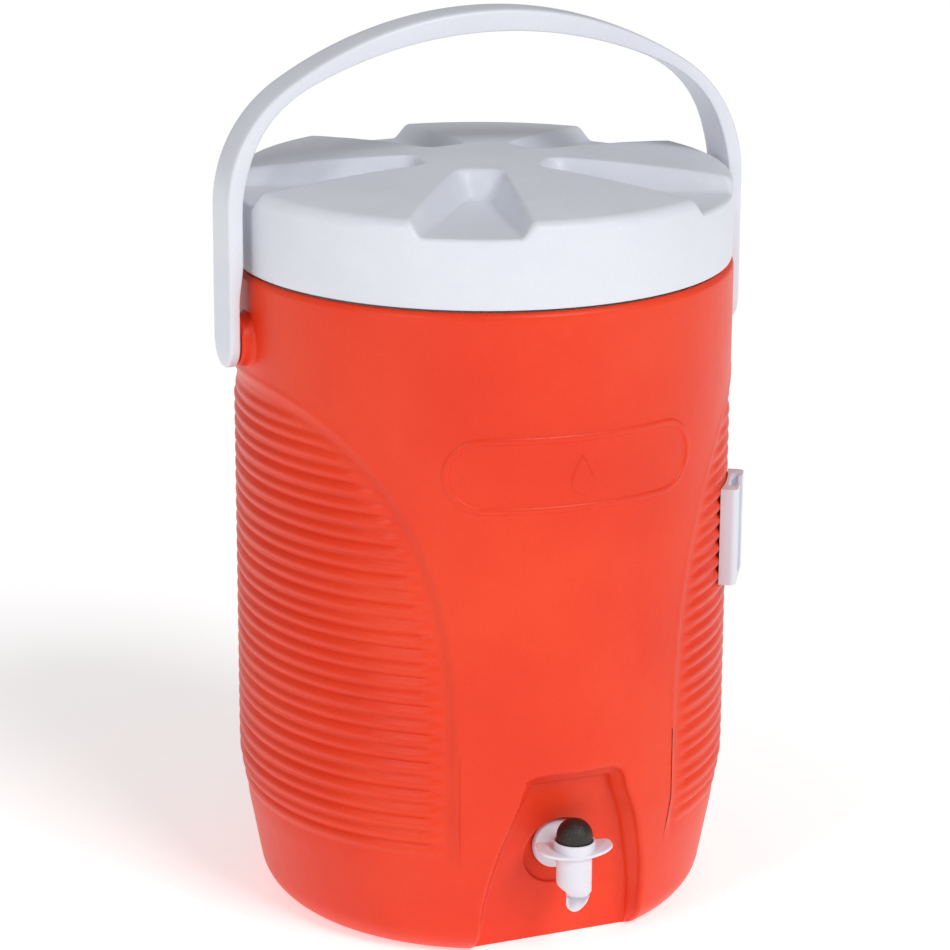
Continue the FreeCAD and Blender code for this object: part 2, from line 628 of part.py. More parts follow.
def make_inner_liner():
    """Food-grade tank with a double-walled neck, a screw thread and a pad for the spigot."""
    wall = size["tank_wall"]
    low, top = size["tank_low_radius"], size["tank_top_radius"]
    floor, bend = size["tank_floor"], size["tank_round"]
    neck, rim = size["neck_radius"], size["neck_top"]
    tank = turned("tank", [
        (0, floor - wall), (low - bend, floor - wall, bend + wall), (low + wall, floor + bend),
        (top + wall, size["tank_taper_top"]), (top + wall, rim - wall), (neck - wall, rim - wall),
        (neck - wall, size["neck_skirt_low"]), (neck, size["neck_skirt_low"]), (neck, rim),
        (top, rim), (top, size["tank_taper_top"]), (low, floor + bend, -bend),
        (low - bend, floor), (0, floor)])
    pad = forward_cylinder("tank_pad", size["pad_radius"], size["pad_plane"], dish_inside,
                           size["spigot_height"])
    ridges = thread_ridges("neck_thread", neck.value, size["thread_height"].value,
                           size["thread_base"].value, size["neck_thread_turn"].value)
    way = forward_cylinder("tank_shank_hole", size["shank_hole"], size["pad_plane"] - 5,
                           dish_inside + 5, size["spigot_height"])
    return finish_piece(cut("liner", fuse("tank_solid", tank, pad, ridges), way), "inner_liner")


def make_foam():
    """Rigid foam that fills the space between shell and tank."""
    gap, wall = size["gap"], size["tank_wall"]
    out = inside_radius - gap
    low, top = size["tank_low_radius"] + wall + gap, size["tank_top_radius"] + wall + gap
    floor, bend = size["tank_floor"] - wall - gap, size["tank_round"] + wall + gap
    neck, ceiling = size["neck_radius"], size["shell_height"] - size["shell_wall"] - gap
    inner_bend = size["tank_floor"] + size["tank_round"]
    blank = turned("foam_blank", cavity_outline(gap) + [
        (out, ceiling), (neck + gap, ceiling), (neck + gap, size["neck_skirt_low"] - gap),
        (neck - wall - gap, size["neck_skirt_low"] - gap), (neck - wall - gap, size["neck_top"] - wall - gap),
        (top, size["neck_top"] - wall - gap), (top, size["tank_taper_top"]), (low, inner_bend, -bend),
        (low - bend, floor), (0, floor)])
    keep_out = size["shell_wall"] + gap
    dish = forward_cylinder("foam_dish", size["dish_radius"] + keep_out, size["dish_plane"] - keep_out,
                            size["body_radius"], size["spigot_height"])
    pad = forward_cylinder("foam_pad", size["pad_radius"] + gap, size["pad_plane"] - 5,
                           size["body_radius"], size["spigot_height"])
    bosses = [side_cylinder("foam_boss_" + word, size["boss_radius"] + gap, size["boss_root"] - gap,
                            size["boss_face"], size["pivot_height"], side)
              for word, side in (("right", 1), ("left", -1))]
    plug = cylinder("foam_plug_way", size["plug_hole_radius"] + gap,
                    size["base_wall"] + size["plug_grip"] + gap, 0,
                    (size["groove_inner"] + size["groove_outer"]) / 2, 0)
    screws = screw_row("foam_screws", size["screw_radius"] + gap, inside_radius - size["screw_length"],
                       size["body_radius"])
    return finish_piece(cut("foam", blank, recess_block("foam_recess", keep_out), dish, pad, plug,
                            screws, *bosses), "foam_insulation")


# ---------------------------------------------------------------- handle and its pivots
def make_handle():
    """Moulded bail: two flat arms, round shoulders and a thicker grip at the crown."""
    arm_in, top = size["arm_inside"], size["handle_top"]
    arm_out = arm_in + size["arm_thickness"]
    end = size["pivot_height"] - size["strap_half_width"]

    def arch(crown, shoulder, side_x, peak):
        """Where a crown arc and a shoulder arc meet each other and the arm."""
        crown_y = peak - crown
        middle_x = side_x - shoulder
        middle_y = crown_y + root((crown - shoulder) * (crown - shoulder) - middle_x * middle_x)
        share = crown / (crown - shoulder)
        return middle_y, middle_x * share, crown_y + (middle_y - crown_y) * share

    out_y, out_x, out_top = arch(size["crown_radius"], size["shoulder_radius"], arm_out, top)
    in_y, in_x, in_top = arch(size["grip_radius"], size["inner_shoulder_radius"], arm_in,
                              top - size["grip_thickness"])
    front = padded("handle_front", "XZ_Plane", [
        (arm_in, end), (arm_out, end), (arm_out, out_y, size["shoulder_radius"]),
        (out_x, out_top, size["crown_radius"]), (0, top, size["crown_radius"]),
        (-out_x, out_top, size["shoulder_radius"]), (-arm_out, out_y), (-arm_out, end),
        (-arm_in, end), (-arm_in, in_y, -size["inner_shoulder_radius"]),
        (-in_x, in_top, -size["grip_radius"]), (0, top - size["grip_thickness"], -size["grip_radius"]),
        (in_x, in_top, -size["inner_shoulder_radius"]), (arm_in, in_y)],
        size["strap_half_width"] * 2, both_ways=True)
    wide, narrow = size["strap_half_width"], size["grip_half_width"]
    pivot = size["pivot_height"]
    side = padded("handle_side", "YZ_Plane", [
        (0, pivot - wide, wide), (wide, pivot), (wide, out_y), (narrow, top + 1), (-narrow, top + 1),
        (-wide, out_y), (-wide, pivot, wide)], arm_out * 2 + 4, both_ways=True)
    ways = []
    for word, way in (("right", 1), ("left", -1)):
        ways.append(side_cylinder("handle_eye_" + word, size["pin_radius"] + size["running_fit"],
                                  arm_in - 1, arm_out + 1, pivot, way))
        ways.append(side_cylinder("handle_sink_" + word, size["pin_head_radius"] + size["running_fit"] * 2,
                                  arm_out - size["pin_head"] - 0.1, arm_out + 1, pivot, way))
    return finish_piece(cut("handle", common("handle_blank", front, side), *ways), "carry_handle")


def make_pivots():
    """A headed pin and a thin washer at each end of the handle."""
    arm_out = size["arm_inside"] + size["arm_thickness"]
    for word, side in (("right", 1), ("left", -1)):
        shaft = side_cylinder("shaft_" + word, size["pin_radius"], size["pin_root"], arm_out,
                              size["pivot_height"], side)
        head = side_cylinder("head_" + word, size["pin_head_radius"], arm_out - size["pin_head"],
                             arm_out, size["pivot_height"], side)
        finish_piece(fuse("pin_" + word, shaft, head), "handle_pin_" + word)
        start = size["boss_face"] + (size["arm_inside"] - size["boss_face"] - size["washer_thickness"]) / 2
        disc = side_cylinder("washer_disc_" + word, size["washer_radius"], start,
                             start + size["washer_thickness"], size["pivot_height"], side)
        eye = side_cylinder("washer_eye_" + word, size["pin_radius"] + size["running_fit"],
                            start - 1, start + 2, size["pivot_height"], side)
        finish_piece(cut("washer_" + word, disc, eye), "handle_washer_" + word)


# ---------------------------------------------------------------- lid
def notch_outline(grow):
    """Plan of one finger notch, a wedge that widens to the lid's edge."""
    slope = (size["notch_half_outer"] - size["notch_half_inner"]) / (size["lid_radius"] - size["notch_start"])
    start, end = size["notch_start"] - grow, size["lid_radius"] + 10
    inner = size["notch_half_inner"] + grow - slope * grow
    outer = inner + slope * (end - start)
    return [(start, -inner), (end, -outer), (end, outer), (start, inner)]


def make_lid_shell():
    """Outer lid: crowned top with finger notches, a skirt and the inside thread."""
    radius, edge, bend = size["lid_radius"], size["lid_edge"], size["lid_edge_round"]
    wall = size["lid_wall"]
    rise = size["lid_top"] - edge

    def crown(flat):
        """Radius of a dome that is centred on the axis and starts at this radius."""
        return (flat * flat + rise * rise) / (rise * 2)

    blank = turned("lid_blank", [
        (0, lid_low), (radius, lid_low), (radius, edge - bend, bend),
        (radius - bend, edge, crown(radius - bend)), (0, size["lid_top"])])
    add_notches(blank, notch_outline(as_size(0)), size["notch_floor"])
    inner_bend = bend - wall
    space = turned("lid_space", [
        (0, lid_low - 1), (skirt_inside, lid_low - 1), (skirt_inside, edge - bend, inner_bend),
        (skirt_inside - inner_bend, edge - wall, crown(skirt_inside - inner_bend)),
        (0, size["lid_top"] - wall)])
    add_notches(space, notch_outline(wall), notch_underside)
    pitch = size["thread_lead"].value / size["thread_starts"].value
    ridges = thread_ridges("lid_thread", skirt_inside.value, -size["lid_thread_height"].value,
                           size["thread_base"].value - pitch / 2 + size["thread_seat"].value,
                           size["lid_thread_turn"].value)
    shell = fuse("lid_with_thread", cut("lid_cap", blank, space), ridges)
    return finish_piece(place(shell, 0, 0, 0, Z_AXIS, size["lid_clock"]), "lid_shell")


def make_lid_inside():
    """The lid's inner plate with its plug, the foam on top of it and the sealing ring."""
    wall, floor = size["plug_wall"], size["plug_floor"]
    plug = size["tank_top_radius"] - size["plug_gap"]
    underside = size["neck_top"] + size["gasket_thickness"]
    liner = turned("lid_plate", [
        (0, floor), (plug, floor), (plug, underside), (skirt_inside - size["gap"], underside),
        (skirt_inside - size["gap"], notch_underside), (plug - wall, notch_underside),
        (plug - wall, floor + wall), (0, floor + wall)])
    finish_piece(liner, "lid_liner")
    foam = cylinder("lid_filling", plug - wall - size["gap"],
                    notch_underside - floor - wall - size["gap"] * 2, 0, 0, floor + wall + size["gap"])
    finish_piece(foam, "lid_foam")
    ring = cut("gasket",
               cylinder("gasket_out", size["gasket_outer"], size["gasket_thickness"], 0, 0, size["neck_top"]),
               cylinder("gasket_in", size["gasket_inner"], size["gasket_thickness"], 0, 0, size["neck_top"]))
    finish_piece(ring, "lid_gasket")


# ---------------------------------------------------------------- spigot
def make_spigot_body():
    """One moulding: spout, barrel with its valve seat, flange and threaded shank."""
    height, reach = size["spigot_height"], size["spigot_reach"]
    flange_back = size["dish_plane"] + size["outer_washer"]
    flange_front = flange_back + size["flange_thickness"]
    low, seat_top = size["barrel_low"], size["barrel_low"] + size["seat_thickness"]
    barrel = turned("barrel", [
        (0, size["spout_tip"] - 1), (size["spout_radius"], size["spout_tip"] - 1),
        (size["spout_radius"], size["taper_low"]), (size["barrel_radius"], low),
        (size["barrel_radius"], size["barrel_top"]), (0, size["barrel_top"])], 0, barrel_y)
    solid = fuse("spigot_solid", barrel,
                 forward_cylinder("neck_tube", size["neck_tube_radius"], flange_back, reach, height),
                 forward_cylinder("flange", size["flange_radius"], flange_back, flange_front, height),
                 forward_cylinder("shank", size["shank_radius"], size["shank_end"], flange_front, height))
    water = forward_cylinder("water_way", size["water_radius"], size["shank_end"] - 1, reach, height)
    bore = turned("barrel_bore_tool", [
        (0, low - REACH), (size["spout_bore"], low - REACH), (size["spout_bore"], low),
        (size["seat_hole"], low), (size["seat_hole"], seat_top), (size["barrel_bore"], seat_top),
        (size["barrel_bore"], size["barrel_top"] + 1), (0, size["barrel_top"] + 1)], 0, barrel_y)
    past = size["spout_radius"] + 1
    slope = size["spout_cut_rise"] / (size["spout_radius"] * 2)
    tip = size["spout_tip"] - slope
    wedge = padded("spout_wedge", "YZ_Plane", [
        (-past, tip - 5), (past, tip - 5), (past, tip), (-past, tip + slope * past * 2)],
        past * 4, both_ways=True)
    place(wedge, 0, barrel_y, 0, Z_AXIS, size["spout_cut_turn"])
    return finish_piece(cut("spigot", solid, water, bore, wedge), "spigot_body")


def washer(name, label, radius, start, thickness):
    """A flat ring on the spigot's shank."""
    disc = forward_cylinder(name + "_disc", radius, start, start + thickness, size["spigot_height"])
    eye = forward_cylinder(name + "_eye", size["shank_hole"], start - 1, start + thickness + 1,
                           size["spigot_height"])
    return finish_piece(cut(name, disc, eye), label)


def make_spigot_fixings():
    """Rubber washers on both sides of the wall, and the nut inside the tank."""
    washer("washer_out", "spigot_outer_washer", size["outer_washer_radius"], size["dish_plane"],
           size["outer_washer"])
    inner_start = size["pad_plane"] - size["inner_washer"]
    washer("washer_in", "spigot_inner_washer", size["inner_washer_radius"], inner_start,
           size["inner_washer"])
    nut_start = inner_start - size["nut_thickness"]
    block = doc.addObject("Part::Prism", "nut_block")
    block.Polygon = int(size["nut_sides"].value)
    bind(block, Circumradius=size["nut_radius"], Height=size["nut_thickness"])
    place(block, 0, -nut_start, size["spigot_height"], X_AXIS, 90)
    hole = forward_cylinder("nut_hole", size["shank_radius"] + size["running_fit"], nut_start - 1,
                            inner_start + 1, size["spigot_height"])
    finish_piece(cut("nut", block, hole), "spigot_nut")


def make_bonnet():
    """Screw-in bonnet: plug, well for the button and two curled finger wings."""
    top, low = size["barrel_top"], size["barrel_top"] - size["bonnet_plug"]
    stem = size["stem_radius"] + size["running_fit"]
    seal = stem + size["seal_section"] * 2 + size["snug_fit"]
    seat = low + size["seal_section"] * 2 + size["snug_fit"]
    round_part = turned("bonnet_core", [
        (seal, low), (size["bonnet_plug_radius"], low), (size["bonnet_plug_radius"], top),
        (size["collar_radius"], top), (size["collar_radius"], size["collar_top"]),
        (size["collar_bore"], size["collar_top"]), (size["collar_bore"], well_floor),
        (stem, well_floor), (stem, seat), (seal, seat)], 0, barrel_y)
    thick, curl = size["wing_thickness"], size["wing_curl"]
    half = size["wing_reach"] + size["wing_end_round"] + 2
    rise = curl - root(curl * curl - half * half)
    strip = padded("wing_strip", "XZ_Plane", [
        (-half, top + rise, curl), (0, top, curl), (half, top + rise),
        (half, top + rise + thick, -curl), (0, top + thick, -curl), (-half, top + rise + thick)],
        size["collar_radius"] * 4, both_ways=True)
    reach, wide, bow = size["wing_reach"], size["wing_half_width"], size["wing_bow"]
    plan = padded("wing_plan", "XY_Plane", [
        (-reach, -wide, bow), (reach, -wide, size["wing_end_round"]), (reach, wide, bow),
        (-reach, wide, size["wing_end_round"])], top * 2)
    well = cylinder("wing_well", size["collar_bore"], size["collar_top"] * 2)
    wings = place(cut("wings", common("wing_blank", strip, plan), well), 0, barrel_y, 0,
                  Z_AXIS, size["wing_turn"])
    finish_piece(fuse("bonnet", round_part, wings), "spigot_bonnet")
    ring = doc.addObject("Part::Torus", "seal_ring")
    bind(ring, Radius1=stem + size["seal_section"], Radius2=size["seal_section"])
    place(ring, 0, barrel_y, low + size["seal_section"])
    finish_piece(ring, "stem_seal")


def make_button_parts():
    """Domed button, the stem in it, and the rubber valve below the seat."""
    outer = size["button_radius"]
    inner = outer - size["button_wall"]
    ceiling, top = size["button_ceiling"], size["button_top"]
    socket, stem_top = size["stem_radius"] + size["running_fit"], ceiling + size["stem_grip"]
    button = turned("button", [
        (0, stem_top + size["snug_fit"] * 2), (socket, stem_top + size["snug_fit"] * 2), (socket, ceiling),
        (inner, ceiling),
        (inner, size["button_low"]), (outer, size["button_low"]), (outer, top - outer, outer),
        (0, top)], 0, barrel_y)
    finish_piece(button, "push_button")
    low, tip = size["barrel_low"], size["stem_tip_radius"]
    stem = turned("stem", [
        (0, low - size["valve_grip"]), (tip, low - size["valve_grip"]), (tip, low), (size["stem_radius"], low),
        (size["stem_radius"], stem_top), (0, stem_top)], 0, barrel_y)
    finish_piece(stem, "valve_stem")
    wide, bottom = size["valve_radius"], low - size["valve_thickness"]
    edge, eye = size["valve_edge"], tip + size["running_fit"]
    socket_floor = low - size["valve_grip"] - size["snug_fit"] * 2
    valve = turned("valve", [
        (0, bottom), (wide - edge, bottom), (wide, bottom + edge), (wide, low),
        (eye, low), (eye, socket_floor), (0, socket_floor)],
        0, barrel_y)
    finish_piece(valve, "valve_plug")


def make_return_spring():
    """Coil spring between the bonnet's floor and the button's ceiling."""
    wire = size["spring_wire"].value
    play = size["snug_fit"].value
    free = size["button_ceiling"].value - well_floor.value - 2 * wire - 2 * play
    turns = size["spring_turns"].value
    radius = size["spring_radius"].value
    helix = Part.makeHelix(free / turns, free, radius)
    ring = Part.Wire(Part.makeCircle(wire, Vector(radius, 0, 0), Y_AXIS))
    coil = Part.Wire(helix.Edges).makePipeShell([ring], True, True)
    item = doc.addObject("Part::Feature", "spring")
    item.Shape = coil
    item.Placement = Placement(Vector(0, barrel_y.value, well_floor.value + wire + play), Rotation())
    return finish_piece(item, "return_spring")


# ---------------------------------------------------------------- side rail
def make_side_rail():
    """Rail block that a cup dispenser slides on to, and its two screws."""
    low, height = size["bracket_low"], size["bracket_height"]
    half, face, bend = size["bracket_half_width"], size["bracket_face"], size["bracket_corner"]
    back = inside_radius
    block = padded("rail_block", "XY_Plane", [
        (-half, -face + bend, bend), (-half + bend, -face), (half - bend, -face, bend),
        (half, -face + bend), (half, -back), (-half, -back)], height)
    place(block, 0, 0, low)
    mouth, inside = size["slot_half_mouth"], size["slot_half_inside"]
    lip = face - size["slot_lip"]
    floor = face - size["slot_depth"]
    slot = padded("rail_slot", "XY_Plane", [
        (-mouth, -face - 1), (mouth, -face - 1), (mouth, -lip), (inside, -lip), (inside, -floor),
        (-inside, -floor), (-inside, -lip), (-mouth, -lip)], height + 2)
    place(slot, 0, 0, low + bend)
    hollow = cylinder("rail_back", size["rib_crest"] + size["gap"], height * 2, 0, 0, low - height / 2)
    middle, spread = low + height / 2, size["screw_spacing"] / 2
    holes = [forward_cylinder("rail_hole_" + word, size["screw_radius"] + size["running_fit"],
                              back, face, middle + spread * way)
             for word, way in (("low", -1), ("high", 1))]
    rail = place(cut("rail", block, slot, hollow, *holes), 0, 0, 0, Z_AXIS, size["bracket_angle"])
    finish_piece(rail, "side_rail")
    shafts = screw_row("rail_shafts", size["screw_radius"], floor - size["screw_length"], floor + 0.5)
    heads = screw_row("rail_heads", size["screw_head_radius"], floor, floor + size["screw_head"])
    finish_piece(fuse("rail_screw_pair", shafts, heads), "rail_screws")


make_outer_shell()
make_foam_plug()
make_inner_liner()
make_foam()
make_handle()
make_pivots()
make_lid_shell()
make_lid_inside()
make_spigot_body()
make_spigot_fixings()
make_bonnet()
make_button_parts()
make_return_spring()
make_side_rail()
doc.recompute()

# ---------------------------------------------------------------- checks and files
failed = [item.Label for item in doc.Objects if "Invalid" in item.State or "Error" in item.State]
if failed:
    raise SystemExit("failed objects: " + ", ".join(failed))
for piece in finished:
    if piece.Shape.isNull() or not piece.Shape.isValid() or not piece.Shape.Solids:
        raise SystemExit("bad shape: " + piece.Label)
for piece in finished:
    piece.Shape.exportStep("parts/" + piece.Label + ".step")
    print(piece.Label, len(piece.Shape.Solids), "solid(s)", round(piece.Shape.Volume / 1000, 2), "cm3")
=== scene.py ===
import math
import bpy
import numpy as np
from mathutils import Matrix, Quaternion, Vector


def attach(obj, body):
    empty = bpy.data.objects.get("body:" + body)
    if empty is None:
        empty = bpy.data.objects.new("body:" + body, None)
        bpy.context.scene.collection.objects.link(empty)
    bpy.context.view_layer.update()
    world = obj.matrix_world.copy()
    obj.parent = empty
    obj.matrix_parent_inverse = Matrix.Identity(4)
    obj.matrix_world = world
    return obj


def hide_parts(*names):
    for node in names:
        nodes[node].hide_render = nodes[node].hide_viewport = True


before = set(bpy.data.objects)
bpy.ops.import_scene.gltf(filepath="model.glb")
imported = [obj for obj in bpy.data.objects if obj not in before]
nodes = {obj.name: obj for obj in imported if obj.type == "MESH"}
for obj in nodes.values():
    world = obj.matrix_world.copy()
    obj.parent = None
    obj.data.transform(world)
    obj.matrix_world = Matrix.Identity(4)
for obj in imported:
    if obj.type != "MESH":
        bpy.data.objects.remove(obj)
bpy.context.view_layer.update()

# ---------------------------------------------------------------- outer shell
# The jug's outer skin is one rotational moulding in orange polyethylene, about 3.5 mm thick.
# Its wall draws in towards a rounded foot, and two ribbed grip panels are sunk into its sides.
# The skin is laid as a fine grid in millimetres, in rows down the wall and columns round it.
WALL = 142.0
WAIST, FOOT_TOP, FOOT_RADIUS = 83.0, 18.4, 130.0
FOOT_BEND, FOOT_BEND_AXIS, FOOT_BEND_HEIGHT, WAIST_BLEND = 24.0, 106.3, 22.17, 0.3
PANEL_HALF, PANEL_SPRING, PANEL_TOP, PANEL_SHAPE = 62.5, 109.0, 319.0, 2.7
RIB_PITCH, RIB_LOW, RIB_GROOVE, RIB_HEIGHT = 8.22, 63.0, 2.5, 2.3
PANEL_SINK, PANEL_SLOPE, BEAD_HEIGHT = 2.2, 5.5, 0.4
HOLE_TURN, HOLE_TOP = 27.0, 125.0
MM = 0.001


def soft_step(x):
    """0 below 0, 1 above 1, and an S between."""
    x = np.clip(x, 0, 1)
    return x * x * (3 - 2 * x)


def wall_radius(z):
    """Radius of the plain wall at a height, without panels."""
    foot = FOOT_BEND_AXIS + np.sqrt(np.maximum(FOOT_BEND ** 2 - (z - FOOT_BEND_HEIGHT) ** 2, 0))
    slope = FOOT_RADIUS + (WALL - FOOT_RADIUS) * (z - FOOT_TOP) / (WAIST - FOOT_TOP)
    spare = WALL - np.where(z < FOOT_TOP, foot, slope)
    return WALL - (spare + np.sqrt(spare * spare + WAIST_BLEND)) / 2


def panel_depth(turn, z):
    """How far the side panels and their ribs lie below the wall."""
    across = np.abs(np.abs(turn) - 90) / PANEL_HALF
    up = np.maximum(z - PANEL_SPRING, 0) / (PANEL_TOP - PANEL_SPRING)
    reach = (across ** PANEL_SHAPE + up ** PANEL_SHAPE) ** (1 / PANEL_SHAPE) + 1e-6
    half_width = math.radians(PANEL_HALF) * WALL
    steep = np.hypot((across / reach) ** 1.7 / half_width, (up / reach) ** 1.7 / (PANEL_TOP - PANEL_SPRING))
    inside = (1 - reach) / np.maximum(steep, 1e-3)
    low_end = soft_step((z - 54) / 20)
    ribs = soft_step((inside - 4.5) / 13) * soft_step((z - 58) / 10)
    wave = np.sqrt(np.sin(np.pi * (z - RIB_LOW) / RIB_PITCH) ** 2 + 0.02)
    sunk = PANEL_SINK * (1 - ribs) + (RIB_GROOVE - RIB_HEIGHT * wave) * ribs
    bead = BEAD_HEIGHT * np.exp(-((inside + 1.2) / 1.5) ** 2) * low_end
    return soft_step((inside - 0.2) / PANEL_SLOPE) * low_end * sunk - bead


def moulded(name, across, down, spot):
    """A grid primitive whose points are laid where spot(column, row) says, in millimetres."""
    bpy.ops.object.select_all(action="DESELECT")
    bpy.ops.mesh.primitive_grid_add(x_subdivisions=across, y_subdivisions=down, size=1)
    skin = bpy.context.object
    skin.name = skin.data.name = name
    flat = np.empty(len(skin.data.vertices) * 3)
    skin.data.vertices.foreach_get("co", flat)
    flat = flat.reshape(-1, 3)
    column = np.rint((flat[:, 0] + 0.5) * across).astype(int)
    row = np.rint((flat[:, 1] + 0.5) * down).astype(int)
    laid = np.stack(np.broadcast_arrays(*spot(column, row)), axis=1) * MM
    skin.data.vertices.foreach_set("co", laid.ravel())
    skin.data.update()
    return skin


def joined(name, *parts):
    """Several meshes as one, with doubled points merged and faces turned outwards."""
    bpy.ops.object.select_all(action="DESELECT")
    for part in parts:
        part.select_set(True)
    bpy.context.view_layer.objects.active = parts[0]
    if len(parts) > 1:
        bpy.ops.object.join()
    whole = bpy.context.object
    whole.name = whole.data.name = name
    bpy.ops.object.mode_set(mode="EDIT")
    bpy.ops.mesh.select_all(action="SELECT")
    bpy.ops.mesh.remove_doubles(threshold=0.00002)
    bpy.ops.mesh.normals_make_consistent(inside=False)
    bpy.ops.object.mode_set(mode="OBJECT")
    return whole


def even_steps(*stops):
    """Rows or columns from stop to stop: (value, steps to the next one), ..., (value, 0)."""
    marks = [stops[0][0]]
    for (start, steps), (end, _) in zip(stops, stops[1:]):
        marks += list(np.linspace(start, end, steps + 1)[1:])
    return np.array(marks)


half_turns = even_steps((0, 34), (HOLE_TURN, 37), (60, 35), (120, 28), (153, 9), (180, 0))
turns = np.concatenate([-half_turns[:0:-1], half_turns])
shoulder = np.radians(even_steps((17, 8), (90, 0)))
lip_radii = np.array([138.6, 138.6])
lip_heights = np.array([366.0, 375.9])
wall_heights = even_steps((370.5, 12), (356, 210), (HOLE_TOP, 59), (60, 14), (FOOT_TOP, 9), (0, 0))
row_radii = np.concatenate([lip_radii, 138 + 4 * np.sin(shoulder), wall_radius(wall_heights)])
row_heights = np.concatenate([lip_heights, 373 + 4 * np.cos(shoulder), wall_heights])


def wall_spot(column, row):
    """A point of the wall, with panels and ribs."""
    turn, z = turns[column], row_heights[row]
    radius = row_radii[row] - panel_depth(turn, z)
    return radius * np.sin(np.radians(turn)), -radius * np.cos(np.radians(turn)), z


wall = moulded("jug_wall", len(turns) - 1, len(row_heights) - 1, wall_spot)
bpy.ops.object.mode_set(mode="EDIT")
bpy.ops.mesh.select_all(action="DESELECT")
bpy.ops.mesh.select_mode(type="FACE")
bpy.ops.object.mode_set(mode="OBJECT")
for face in wall.data.polygons:
    x, y, z = face.center
    face.select = z < HOLE_TOP * MM and abs(math.degrees(math.atan2(x, -y))) < HOLE_TURN
bpy.ops.object.mode_set(mode="EDIT")
bpy.ops.mesh.delete(type="FACE")
bpy.ops.object.mode_set(mode="OBJECT")

# ---------------------------------------------------------------- spigot recess
# A recess is moulded into the front of the shell, open at the foot, so that a cup fits under
# the spout. Its floor leans forward, its sides are bowed, and a round seat takes the spigot.
# Rings of points run from the hole in the wall to the rounded edge, down the walls and inwards.
RECESS_DEPTH, LEAN = 103.7, math.radians(12.5)
EDGE_ROUND, FLOOR_ROUND, DRAFT = 3.4, 3.5, 6.0
SEAT_RADIUS, SEAT_PLANE, SEAT_HEIGHT = 21.0, -110.5, 57.5
SIDE_BOW, SIDE_BOW_X, SIDE_BOW_HEIGHT = 220.0, 171.3, 17.4
CORNER, CORNER_X, CORNER_HEIGHT = 9.0, -21.5, 106.7
RECESS_HALF, STRAIGHT_TOP = 48.3, 34.0

side_arc = np.radians(np.linspace(4.72, 23.34, 40))
corner_arc = np.radians(np.linspace(0, 90, 20))
left_x = np.concatenate([np.full(20, -RECESS_HALF), SIDE_BOW_X - SIDE_BOW * np.cos(side_arc),
                         CORNER_X - CORNER * np.cos(corner_arc)])
left_h = np.concatenate([np.linspace(0, STRAIGHT_TOP, 20), SIDE_BOW_HEIGHT + SIDE_BOW * np.sin(side_arc),
                         CORNER_HEIGHT + CORNER * np.sin(corner_arc)])
rough_x = np.concatenate([left_x, -left_x[::-1]])
rough_h = np.concatenate([left_h, left_h[::-1]])
run = np.concatenate([[0], np.cumsum(np.hypot(np.diff(rough_x), np.diff(rough_h)))])
fine = np.linspace(0, run[-1], 800)
window = np.hanning(33) / np.hanning(33).sum()
fine_x = np.interp(fine, run, rough_x)
fine_h = np.interp(fine, run, rough_h)
smooth_x = np.convolve(np.pad(fine_x, 16, mode="edge"), window, mode="valid")
smooth_h = np.convolve(np.pad(fine_h, 16, mode="reflect", reflect_type="odd"), window, mode="valid")
corner_run = fine[np.argmax(smooth_h - smooth_x)]

side_z = row_heights[row_heights <= HOLE_TOP + 0.01][::-1]
front_turns = turns[np.abs(turns) <= HOLE_TURN + 0.01]
rim_turn = np.concatenate([np.full(len(side_z), -HOLE_TURN), front_turns[1:-1],
                           np.full(len(side_z), HOLE_TURN)])
rim_z = np.concatenate([side_z, np.full(len(front_turns) - 2, HOLE_TOP), side_z[::-1]])
rim_x = wall_radius(rim_z) * np.sin(np.radians(rim_turn))
rise = side_z / HOLE_TOP * corner_run
top_run = np.interp(front_turns[1:-1], [-HOLE_TURN, HOLE_TURN], [corner_run, run[-1] - corner_run])
rim_run = np.concatenate([rise, top_run, run[-1] - rise[::-1]])
edge_x = np.interp(rim_run, fine, smooth_x)
edge_h = np.interp(rim_run, fine, smooth_h)
slope_x = np.interp(rim_run, fine, np.gradient(smooth_x, fine))
slope_h = np.interp(rim_run, fine, np.gradient(smooth_h, fine))
out_x, out_h = -slope_h / np.hypot(slope_x, slope_h), slope_x / np.hypot(slope_x, slope_h)


def on_lean(x, height, out):
    """A point at a height up the leaning floor and a distance out from it."""
    height = height + out * math.tan(LEAN) * np.clip(1 - height / 35, 0, 1)
    y = -RECESS_DEPTH - height * math.sin(LEAN) - out * math.cos(LEAN)
    return x, y, height * math.cos(LEAN) - out * math.sin(LEAN)


def reach_of_wall(x, height):
    """How far out from the leaning floor the jug's wall is at a point."""
    out = np.full(len(x), 20.0)
    for _ in range(8):
        z = np.maximum(on_lean(x, height, out)[2], 0)
        face = -np.sqrt(wall_radius(z) ** 2 - x * x)
        base = on_lean(x, height, 0)[1]
        out = (base - face) / math.cos(LEAN)
    return out


rings = []
full_reach = reach_of_wall(edge_x, edge_h)
roll_in = EDGE_ROUND + 5.0 * soft_step((out_h - 0.5) / 0.4)
edge_round = np.minimum(roll_in, full_reach * 0.5)
floor_round = np.minimum(FLOOR_ROUND, full_reach * 0.35)
draft = DRAFT * np.clip(0.35 + edge_h / 90, 0, 1)
start_x, start_h = edge_x + out_x * edge_round, edge_h + out_h * edge_round
start = on_lean(start_x, start_h, reach_of_wall(start_x, start_h))
for share in np.linspace(0, 1, 8):
    x = rim_x + (start[0] - rim_x) * share
    z = rim_z + (np.maximum(start[2], 0) - rim_z) * share
    rings.append((x, -np.sqrt(wall_radius(z) ** 2 - x * x), z))
for bend in np.radians([18, 36, 54, 72, 90]):
    x = edge_x + out_x * edge_round * (1 - math.sin(bend))
    height = edge_h + out_h * edge_round * (1 - math.sin(bend))
    out = reach_of_wall(x, height) - edge_round * (1 - math.cos(bend))
    rings.append(on_lean(x, height, out))
